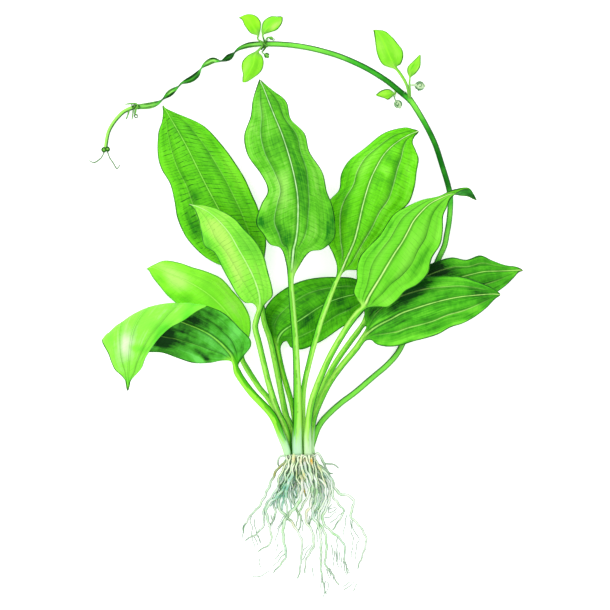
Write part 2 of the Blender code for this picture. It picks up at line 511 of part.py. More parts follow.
def leaf_rings(stalk, blade, upper_side_down_at_base=False):
    """All of a leaf's rings, from the end of its stalk to the tip of its blade."""
    turn = -1 if upper_side_down_at_base else 1
    middles = [Vector(row[:3]) for row in stalk] + [Vector(blade[0][1])]
    rings = []
    for index, row in enumerate(stalk):
        along = middles[index + 1] - middles[max(index - 1, 0)]
        if index == 0 and row[1] == GAP:
            along = Vector((0, 1, 0))
        side = along.cross(Vector((0, 0, 1))).normalized() * turn
        up = side.cross(along).normalized()
        rings.append(stalk_ring(middles[index], side, up, row[3], depth_of_stalk(row[3])))
    depth = depth_of_stalk(stalk[-1][3])
    rows = [[Vector(point) for point in row] for row in blade]
    for index, (left, rib, right) in enumerate(rows[:-1]):
        before = rows[index - 1][1] if index else middles[-2]
        along = rows[index + 1][1] - before
        side = (right - left).normalized()
        up = side.cross(along).normalized()
        if index == 0:
            rings.append(stalk_ring(rib, side, up, (right - left).length, depth))
        else:
            rings.append(blade_ring(left, rib, right, along, index / len(rows), depth))
    rings.append(tip_ring(rows[-1][1], side, up))
    return rings


def build_leaves():
    for name, leaf in {**LEAVES, **PLANTLET_LEAVES}.items():
        rings = leaf_rings(leaf["stalk"], leaf["blade"], leaf.get("upper_side_down_at_base", False))
        loft(name, rings, material(name + "_green", leaf["colour"]))


# ---------------------------------------------------------------- runner
# The flower stalk lies on the surface: round up to the second node, then flat and twisted.

RUNNER_LOWER = ((10, 0.3, 6.7), (10.3, 4, 6.5), (15, 19, 4.6), (19, 29, 3.2), (26, 38.5, 2.9),
                (40, 51, 2.9), (54, 64, 2.9), (70, 79.5, 2.9), (84, 91, 2.9), (95, 102, 2.9),
                (103, 114, 2.9), (112, 133, 2.9), (122, 155, 2.9), (131, 177, 2.9), (138, 194, 2.9),
                (144, 209, 2.9), (146, 220, 2.9), (149, 237, 2.9), (150, 257, 2.9), (147, 270, 2.9),
                (141, 288, 2.9), (133.5, 312, 2.9), (124, 334, 2.9), (112, 353.5, 2.9))
RUNNER_MIDDLE = ((109.8, 356.6, 2.9), (101, 365.5, 2.9), (90, 375, 2.9), (79, 382.5, 2.9),
                 (67, 389, 2.9), (52, 396, 2.9), (38, 402, 2.9), (24, 406, 2.9), (10, 409, 2.9),
                 (-5, 411, 2.9), (-19, 412, 2.9), (-33.8, 412.2, 2.9))
# Each row is x, y and the turn in degrees of the ribbon's flat side about its own length.
RUNNER_RIBBON = ((-36.8, 412.2, 0), (-44, 411.9, 10), (-52.4, 410.4, 30), (-61, 407, 60),
                 (-65.3, 403.2, 90), (-71.3, 397.6, 180), (-79.1, 393.7, 270), (-86.8, 394.4, 340),
                 (-93, 391.6, 385), (-98, 386.4, 440), (-104, 378.7, 520), (-110, 374.4, 555),
                 (-118.7, 371.6, 615), (-121.7, 368.8, 635), (-130, 362.3, 720), (-137.6, 355.9, 805),
                 (-142.8, 352, 850), (-151.4, 349, 900), (-163.2, 348.4, 900))
RUNNER_RIBBON_Z = 3.2
RUNNER_END = ((-166.6, 347.6, 2.2), (-171.6, 346.1, 2), (-179.3, 341, 1.9), (-185.4, 334.4, 1.8),
              (-190, 326.7, 1.7), (-192.6, 319.1, 1.6), (-194.1, 311, 1.5))


def build_runner():
    green = material("runner_green", (96, 196, 86))
    tube("runner_lower", RUNNER_LOWER, [RUNNER_RADIUS] * len(RUNNER_LOWER), green, rounding=2)
    slender = spread(MIDDLE_RADII, len(RUNNER_MIDDLE))
    tube("runner_middle", RUNNER_MIDDLE, slender, green.copy(), rounding=2)
    rings = []
    for index, (x, y, degrees) in enumerate(RUNNER_RIBBON):
        before = RUNNER_RIBBON[max(index - 1, 0)]
        after = RUNNER_RIBBON[min(index + 1, len(RUNNER_RIBBON) - 1)]
        along = Vector((after[0] - before[0], after[1] - before[1], 0)).normalized()
        level = along.cross(Vector((0, 0, 1)))
        turn = math.radians(degrees)
        side = level * math.cos(turn) + Vector((0, 0, 1)) * math.sin(turn)
        up = side.cross(along)
        middle_point = Vector((x, y, RUNNER_RIBBON_Z))
        rings.append(stalk_ring(middle_point, side, up, RUNNER_WIDTH, RUNNER_THICKNESS))
    loft("runner_twisted", rings, green.copy())
    tube("runner_end", RUNNER_END, spread(END_RADII, len(RUNNER_END)), green.copy())


# ---------------------------------------------------------------- buds, bracts and tendrils
# Each row is x, y, z, radius along the piece.

SMALL_STEMS = {
    "plantlet_right_bud_upper": ((112.4, 370.6, 7, 0.7), (115, 371.2, 6.4, 0.7), (116.2, 371, 5.6, 1.8),
                                 (117.4, 370.8, 4.9, 3.4), (119.5, 370.7, 4.6, 4.2),
                                 (121.8, 370.5, 4.5, 3.4), (123.2, 370.3, 4.4, 1.4)),
    "plantlet_right_bud_lower": ((95.3, 359.6, 2.9, 0.6), (95.2, 356.6, 3, 0.6), (95.8, 355.4, 3.4, 1.8),
                                 (96.6, 354, 3.8, 3.2), (97.5, 352.3, 4, 4), (98.4, 350.4, 3.9, 3.2),
                                 (99.1, 348.9, 3.8, 1.2)),
    "plantlet_top_bud_upper": ((-33.4, 415.6, 6.8, 0.9), (-31.5, 417.8, 6, 0.9), (-29.6, 417.9, 5, 1.5),
                               (-28, 417.7, 4.2, 2.4), (-26.2, 417.2, 3.8, 2), (-24.8, 416.7, 3.6, 0.8)),
    "plantlet_top_bud_lower": ((-34.6, 408.2, 6.4, 0.9), (-36.6, 404.4, 5.4, 0.8), (-35.2, 402, 4.2, 1.2),
                               (-34, 400.8, 3.6, 2.4), (-33, 399.8, 3.4, 2.7), (-31.9, 398.8, 3.3, 1.2)),
    "node_bract_upper": ((-163.4, 350.9, 5.6, 0.8), (-165.4, 351.6, 4, 0.9), (-170, 351.9, 2, 0.8),
                         (-174.2, 351.6, 1.2, 0.5)),
    "node_bract_lower": ((-164.8, 345.3, 5, 0.9), (-165.8, 342.4, 3.6, 1), (-164.4, 339.8, 2.4, 1.2),
                         (-167, 339.6, 1.8, 0.8)),
    "runner_end_bud": ((-198.6, 306, 2.4, 0.8), (-197.6, 306, 2.4, 2), (-196.4, 306, 2.4, 2.3),
                       (-195.1, 306.2, 2.3, 1.5), (-193.6, 306, 2.2, 2), (-192.4, 305.8, 2.2, 1.8),
                       (-191.6, 305.6, 2.2, 0.8)),
    "runner_tendril_left": ((-196.8, 302.6, 1.8, 0.6), (-199.7, 297.7, 1.2, 0.7), (-204.8, 293.6, 0.9, 0.7),
                            (-208, 293, 0.7, 0.5), (-211.6, 295, 0.6, 0.4)),
    "runner_tendril_right": ((-192.2, 302.4, 1.8, 0.6), (-190.5, 297.2, 1.2, 0.7), (-187.5, 292.6, 0.9, 0.7),
                             (-185, 288, 0.7, 0.6), (-183.4, 287.2, 0.6, 0.5), (-181, 290.5, 0.6, 0.4)),
}


def build_small_stems():
    for name, rows in SMALL_STEMS.items():
        shade = (130, 190, 120) if "bud" in name else (112, 190, 82)
        tube(name, [row[:3] for row in rows], [row[3] for row in rows], material(name + "_green", shade))


# ---------------------------------------------------------------- roots
# Each root is the height at which it leaves the crown, its radius there, and its route seen from
# above. Later roots lie over earlier ones where they cross, so the lowest leave the crown first.

ROOTS = {
    "root_left_inner": (4.6, 1.5, ((-8, -12), (-14, -22), (-19.5, -36), (-26, -47), (-25, -60), (-31, -73))),
    "root_middle_low": (4.8, 1.5, ((0, -13), (-3, -26), (-8, -38), (-5, -52), (1, -64), (-1, -76))),
    "root_right_low": (5, 1.5, ((9, -12), (12.6, -24), (20, -35), (21.6, -48), (14.5, -58), (9.5, -70))),
    "root_left_far": (8.6, 1.4, ((-13.5, -8), (-21.7, -13.5), (-26.5, -22), (-31, -32), (-36, -43),
                                 (-42, -53.5), (-49.5, -61), (-55, -70.5), (-57.5, -79))),
    "root_right_far": (9.2, 1.5, ((13.2, -9), (24, -14), (31, -23.7), (35.7, -35), (41.4, -40), (50, -42),
                                  (54, -48.6), (51, -62), (59.6, -71.6), (66.3, -84), (64.4, -96.4),
                                  (57.7, -114.6))),
    "root_centre_left": (9.6, 1.7, ((-3.6, -13), (-9, -24), (-18, -37), (-21.7, -48.6), (-19.8, -56),
                                    (-10, -66), (-4.5, -74), (1, -84), (2, -94.5), (0, -115), (-2, -124.5))),
    "root_centre_short": (10, 1.4, ((3.6, -14), (2, -22), (-0.7, -27.5), (4, -35), (5.6, -41))),
    "root_left_hooked": (13.4, 1.5, ((-11, -11), (-17, -24), (-22, -33), (-28.4, -43), (-35, -52.4),
                                     (-36.6, -62), (-36, -69.6), (-42.8, -79), (-55, -86))),
    "root_right_outer": (13.6, 1.6, ((11.4, -10), (19, -19), (29, -31), (28.4, -48.6), (22.6, -62),
                                     (24, -69.7), (32, -78), (40.5, -85), (45.3, -94.5), (44.3, -103),
                                     (48, -119.4))),
    "root_right_mid": (14.4, 1.6, ((6.6, -13), (14, -22), (24.2, -29), (25.2, -45), (19.4, -57),
                                   (18.4, -67.7), (25, -79), (26.6, -95.5), (25.2, -110), (32, -120),
                                   (38.6, -131))),
    "root_left_mid": (14.8, 1.7, ((-6.2, -13), (-12, -27), (-22, -41), (-31, -49), (-34, -57), (-32, -66),
                                  (-29.4, -78), (-29, -87), (-33, -92), (-42, -97))),
    "root_right_curved": (18.2, 1.5, ((14, -7), (23.3, -16), (31, -25.6), (32.8, -41), (37.6, -48.6),
                                      (43.8, -57), (37.6, -68.7), (32.8, -75.4))),
    "root_centre_right": (18.6, 1.6, ((9.2, -11), (14.4, -22), (16.6, -33), (15.6, -45), (12.7, -56),
                                      (13.7, -64), (18.5, -71.6), (20.9, -86), (21, -103), (21, -115),
                                      (23, -128), (26, -140))),
    "root_centre_thick": (18.8, 2.0, ((-1.2, -14), (2.4, -27), (1.2, -39), (-1.6, -48.6), (-9.3, -58),
                                      (-15, -66), (-17, -76), (-16, -89), (-14, -98.4), (-16, -106),
                                      (-26.5, -118.5))),
    "root_left_thick": (19.2, 1.9, ((-5.6, -13), (-8.3, -21), (-13, -33), (-14.4, -46), (-12.4, -58),
                                    (-13, -66))),
    "root_centre_wavy": (22.8, 1.7, ((4.6, -12), (11, -26), (12, -41), (9.9, -52.4), (6, -60), (7, -69.6),
                                     (11.8, -76), (13.7, -87), (12.7, -94.5), (6, -106), (5, -119.4))),
    "root_centre_hooked": (23.2, 1.5, ((0.6, -12), (7, -26), (8.9, -38), (4.2, -48.5), (-1.6, -60),
                                       (-3.5, -71.6))),
}
# Two roots loop out of the crown's sides instead. Each row is x, y, z, radius.
SIDE_ROOTS = {
    "root_loop_left": ((-17.5, -4, 16, 1.4), (-20.4, -2.6, 15, 1.3), (-22.6, -4.5, 12, 1.2),
                       (-22.8, -9, 8, 1), (-20.8, -13, 5.4, 0.7)),
    "root_loop_right": ((18.4, -2.2, 16, 1.5), (20.4, 0.4, 15.4, 1.6), (23.6, -1.6, 13, 1.5),
                        (26, -8.6, 9.4, 1.4), (30.6, -16, 7, 1.1), (35, -19.4, 5.6, 0.6)),
    "root_branch_right": ((28.6, -9.3, 8.6, 0.8), (33.8, -10, 6, 0.8), (38.6, -13.6, 3, 0.5)),
}


def even_route(points, spacing):
    """A smooth route through the points, as points about one spacing apart."""
    fine = smooth_route([(x, y, 0.0) for x, y in points])
    travelled = [0.0]
    for start, finish in zip(fine, fine[1:]):
        travelled.append(travelled[-1] + (finish - start).length)
    count = round(travelled[-1] / spacing)
    route = []
    place_in_fine = 0
    for index in range(count + 1):
        wanted = travelled[-1] * index / count
        while place_in_fine < len(fine) - 2 and travelled[place_in_fine + 1] < wanted:
            place_in_fine += 1
        span = travelled[place_in_fine + 1] - travelled[place_in_fine]
        share = (wanted - travelled[place_in_fine]) / span
        route.append(fine[place_in_fine].lerp(fine[place_in_fine + 1], share))
    return route, travelled[-1] / count


def rest_on(earlier, x, y, radius):
    """The lowest height at which a root of this radius clears the floor and the earlier roots."""
    height = radius
    for other_x, other_y, other_z, other_radius in earlier:
        reach = radius + other_radius + ROOT_CLEARANCE
        apart = math.hypot(x - other_x, y - other_y)
        if apart < reach:
            height = max(height, other_z + math.sqrt(reach * reach - apart * apart))
    return height


def lay_roots():
    """Every root's points and radii, each laid over the earlier ones in smooth humps."""
    laid = []
    earlier = []
    for name, (start_z, start_radius, plan) in ROOTS.items():
        fine, step = even_route(plan, ROOT_TRACE)
        thinning = [(index / (len(fine) - 1)) ** ROOT_TAPER for index in range(len(fine))]
        radii = [start_radius + (ROOT_TIP_RADIUS - start_radius) * share for share in thinning]
        needed = [rest_on(earlier, point.x, point.y, radius) for point, radius in zip(fine, radii)]
        hump = round(ROOT_HUMP / step)
        for index, point in enumerate(fine):
            down = max(0.0, 1 - index * step / ROOT_RUN_DOWN)
            point.z = radii[index] + (start_z - start_radius) * down * down * (3 - 2 * down)
            for near in range(max(0, index - hump), min(len(fine), index + hump + 1)):
                rise = needed[near] - radii[near]
                fall = math.cos(math.pi / 2 * (near - index) / (hump + 1)) ** 2
                if rise > 0:
                    carried = radii[near] + rise * min(1.0, fall * ROOT_HUMP_FULLNESS)
                    point.z = max(point.z, carried)
        earlier += [(point.x, point.y, point.z, radius) for point, radius in zip(fine, radii)]
        every = max(1, round(ROOT_STEP / step))
        kept = list(range(0, len(fine) - every // 2, every)) + [len(fine) - 1]
        laid.append((name, [fine[index] for index in kept], [radii[index] for index in kept]))
    return laid


def start_clear_of_crown(start, radius):
    """Moves a root's first point to where its whole end just clears the crown's dome."""
    deepest = 0.0
    for index in range(ROOT_SIDES):
        turn = 2 * math.pi * index / ROOT_SIDES
        deepest = max(deepest, crown_depth(start.x + radius * math.cos(turn),
                                           start.z + radius * math.sin(turn)))
    start.y = -deepest - GAP - radius * ROOT_START_SLOPE


def build_roots():
    pale = material("root_pale", (214, 236, 214), roughness=0.6)
    for name, route, radii in lay_roots():
        start_clear_of_crown(route[0], radii[0])
        tube(name, route, radii, pale.copy())
    for name, rows in SIDE_ROOTS.items():
        tube(name, [row[:3] for row in rows], [row[3] for row in rows], pale.copy())


build_crown()
build_leaves()
build_runner()
build_small_stems()
build_roots()
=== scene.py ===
"""An amazon sword plant as picked, lying on its back on a pale table: the finish of every piece.

Lengths are millimetres in the plant's own frame: x to the right, y from the crown up to the leaf
tips, z up from the table, with (0, 0) at the middle of the crown's top. place() turns them into the
shared frame's metres. Colours are 0 to 255 screen values, which linear() turns into the shaders' own.
"""

import math

import bmesh
import bpy
import numpy as np
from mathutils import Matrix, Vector


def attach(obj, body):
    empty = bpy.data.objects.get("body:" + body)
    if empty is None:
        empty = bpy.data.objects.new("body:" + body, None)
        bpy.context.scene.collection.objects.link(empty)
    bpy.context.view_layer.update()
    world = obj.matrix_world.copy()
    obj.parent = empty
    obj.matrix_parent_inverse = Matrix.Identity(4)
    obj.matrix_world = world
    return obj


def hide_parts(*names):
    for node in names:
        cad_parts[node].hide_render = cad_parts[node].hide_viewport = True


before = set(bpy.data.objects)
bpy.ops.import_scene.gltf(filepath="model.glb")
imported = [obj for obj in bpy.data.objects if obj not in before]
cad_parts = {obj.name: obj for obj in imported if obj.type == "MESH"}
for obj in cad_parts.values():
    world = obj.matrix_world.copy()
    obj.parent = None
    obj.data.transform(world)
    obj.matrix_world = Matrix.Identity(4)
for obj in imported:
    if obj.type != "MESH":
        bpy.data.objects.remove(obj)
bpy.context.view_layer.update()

# ------------------------------------------------------------------ camera, table and daylight
# The plant lies on a lit white table, under soft daylight from the upper left. The camera looks straight
# down on it through a long lens, because the picture shows the plant upright and from the front.

PICTURE_WIDTH = 0.610         # metres of table across the picture, where one pixel is one millimetre
FOCUS_HEIGHT = 0.03           # the height above the table at which that holds
LENS = 400.0
SENSOR = 36.0
FAR_CLIP = 100.0
PICTURE_MIDDLE = (-0.00125, -0.0002)
TABLE_HALF = 4.0              # half the table's width, metres
TABLE_DROP = 0.0004           # keeps the table just clear of the lowest roots
TABLE_GREY = (240, 240, 240)
TABLE_ROUGHNESS = 0.9
TABLE_GLOW = 0.55             # a lit table, which keeps the shadows on it faint
WHITE = (1, 1, 1, 1)
DAYLIGHT = 1.1
KEY_POWER = 22.0
KEY_SIZE = 1.3
KEY_PLACE = Vector((-1.1, 1.2, 2.1))


def linear(red, green, blue):
    """A colour given as 0 to 255 screen values, as the shader's linear values."""
    return [((value / 255 + 0.055) / 1.055) ** 2.4 for value in (red, green, blue)] + [1.0]


camera = bpy.data.objects.new("camera", bpy.data.cameras.new("camera"))
camera.data.lens = LENS
camera.data.sensor_width = SENSOR
camera.data.clip_end = FAR_CLIP
camera.location = (*PICTURE_MIDDLE, FOCUS_HEIGHT + PICTURE_WIDTH * LENS / SENSOR)
bpy.context.collection.objects.link(camera)
bpy.context.scene.camera = camera

table_shape = bmesh.new()
bmesh.ops.create_grid(table_shape, x_segments=1, y_segments=1, size=TABLE_HALF)
bmesh.ops.translate(table_shape, verts=table_shape.verts, vec=(0, 0, -TABLE_DROP))
table_mesh = bpy.data.meshes.new("table")
table_shape.to_mesh(table_mesh)
table_shape.free()
table = bpy.data.objects.new("table", table_mesh)
bpy.context.collection.objects.link(table)
table_finish = bpy.data.materials.new("pale_table")
table_finish.use_nodes = True
for socket, value in (("Base Color", linear(*TABLE_GREY)), ("Roughness", TABLE_ROUGHNESS),
                      ("Emission Color", WHITE), ("Emission Strength", TABLE_GLOW)):
    table_finish.node_tree.nodes["Principled BSDF"].inputs[socket].default_value = value
table_mesh.materials.append(table_finish)

key = bpy.data.objects.new("key", bpy.data.lights.new("key", "AREA"))
key.data.energy = KEY_POWER
key.data.size = KEY_SIZE
key.location = KEY_PLACE
key.rotation_euler = KEY_PLACE.to_track_quat("Z", "Y").to_euler()
bpy.context.collection.objects.link(key)

world = bpy.data.worlds.new("daylight")
world.use_nodes = True
world.node_tree.nodes["Background"].inputs["Color"].default_value = WHITE
world.node_tree.nodes["Background"].inputs["Strength"].default_value = DAYLIGHT
bpy.context.scene.world = world
bpy.context.scene.view_settings.view_transform = "Standard"
bpy.context.scene.cycles.use_denoising = True

# ------------------------------------------------------------------ leaves
# A leaf is one growth: a fleshy stalk, nearly round, that runs on as the midrib under a thin blade.
# Curved veins run from the blade's foot to its tip, fine cross veins join them, and the blade's edge
# is a darker line. The blade waves at its margins. Feet of stalks are whitish, wrapped together.

PLANT_MIDDLE = (6.25, 150.2)  # the shared frame's middle, in the plant's millimetres
MM = 0.001
SEAM = 2e-7                   # metres within which the two edges of a rolled skin are one
CROWN_FACE = 0.3              # where the stalks' feet stand

STALK_DEEPEST = 7.2
STALK_ROUNDNESS = 0.95
RIB_SHARE_OF_STALK = 0.54
RIB_WIDTH_AT_TIP = 1.2
RIB_DEPTH_AT_TIP = 1.5
RIB_TOP_AT_TIP = 0.7
RIB_TAPER = 2.4
RIB_SINKS_BY = 1 / 6
RIB_MOST = 0.45               # the most of a half blade that the midrib's points take up
RIB_FOLD = 0.18               # share of a half blade over which its tilt turns into the other's
TIP_SIZE = 0.35
TIP_ROUNDING = 3              # length over which the skin closes at the tip
BLADE_SWELL = 0.055
BLADE_THICKNESS = 1.1
BLADE_THINNING = 0.45         # how much of that is lost towards the margin
MARGIN_SHARPNESS = 24         # a high power keeps the rounding of the margin narrow
MARGIN_GROWTH = 0.7           # how much wider than its row a half blade is
WAVE_BEGINS = 2.4             # a high power keeps the waves near the margin
WAVE_LAG = 2.1                # between the left margin's waves and the right one's
STALK_STEP = 2.6              # spacing of the rings of a stalk
BLADE_STEP = 0.95             # and of a blade

VEIN_HALF_WIDTH = 0.6
VEIN_ROOM = 0.08              # the least share of a half blade between one vein and the next
VEIN_MOST = 0.12              # the most of that room that half a vein takes up
FIELD_COLUMNS = (0.14, 0.32, 0.5, 0.68, 0.86)   # points between one vein and the next
RIB_COLUMNS = (0.0, 0.35, 0.7, 1.0, 1.4)        # points over the midrib, in its half widths
VEIN_COLUMNS = (-2, -1, 0, 1, 2)                # points over a vein
MARGIN_COLUMNS = (0.965, 0.985, 1.0)
# The midrib's and the veins' dark points, and the darker points before a vein, are painted shade.
RIB_PALE = (1.0, 0.9, 0.15, 0.0, 0.0)           # how pale the midrib's points are, and how dark
RIB_SIDE_SHADE = (0.0, 0.0, 0.4, 0.95, 0.6)
VEIN_PALE = (0.0, 0.15, 1.0, 0.15, 0.0)         # how pale, how dark and how high a vein's points are
VEIN_SIDE_SHADE = (0.6, 1.0, 0.1, 0.2, 0.1)
VEIN_FORM = (-0.4, 0.3, 1.0, 0.3, -0.4)
FIELD_SHADE = (0.1, 0.1, 0.1, 0.1, 0.1)          # how dark the points before a vein are, and how much
VEIN_SHADE = 0.25                               # darker the last of them is where the vein is dark
VEIN_RISE = 0.28
VEIN_RISE_BELOW = 0.6
FIELD_PUFF = 0.5              # how far the blade swells between two veins
FULL_PUFF_FROM = 30           # half width of a blade that swells so far
FULL_RISE_FROM = 20           # half width of a blade whose veins stand out so far below
CROSS_SPACING = 5.2
CROSS_SLANT = 0.3             # how far a cross vein leans towards the tip, mm a mm
CROSS_DEPTH = 0.16
CROSS_SHARPNESS = 6
CROSS_SHIFTS = (0.43, 0.31)   # of the cross veins on the right half, and beyond the inner vein
CROSS_FADES = (0.1, 0.3), (1, 0.85)     # where they fade in and out, from midrib (0) to margin (1)
WAVE_FADES = (0, 0.2), (1, 0.85)        # where the waves do, from the blade's foot (0) to its tip (1)
PALE_FADES = (0.04, 0.32), (0.97, 0.7)  # where the pale veins do
PALE_RIB = 0.7                # how far from its middle a midrib stays pale, in its widths
MARGIN_FADE = (1, 0.97)       # where the veins' relief ends at the margin

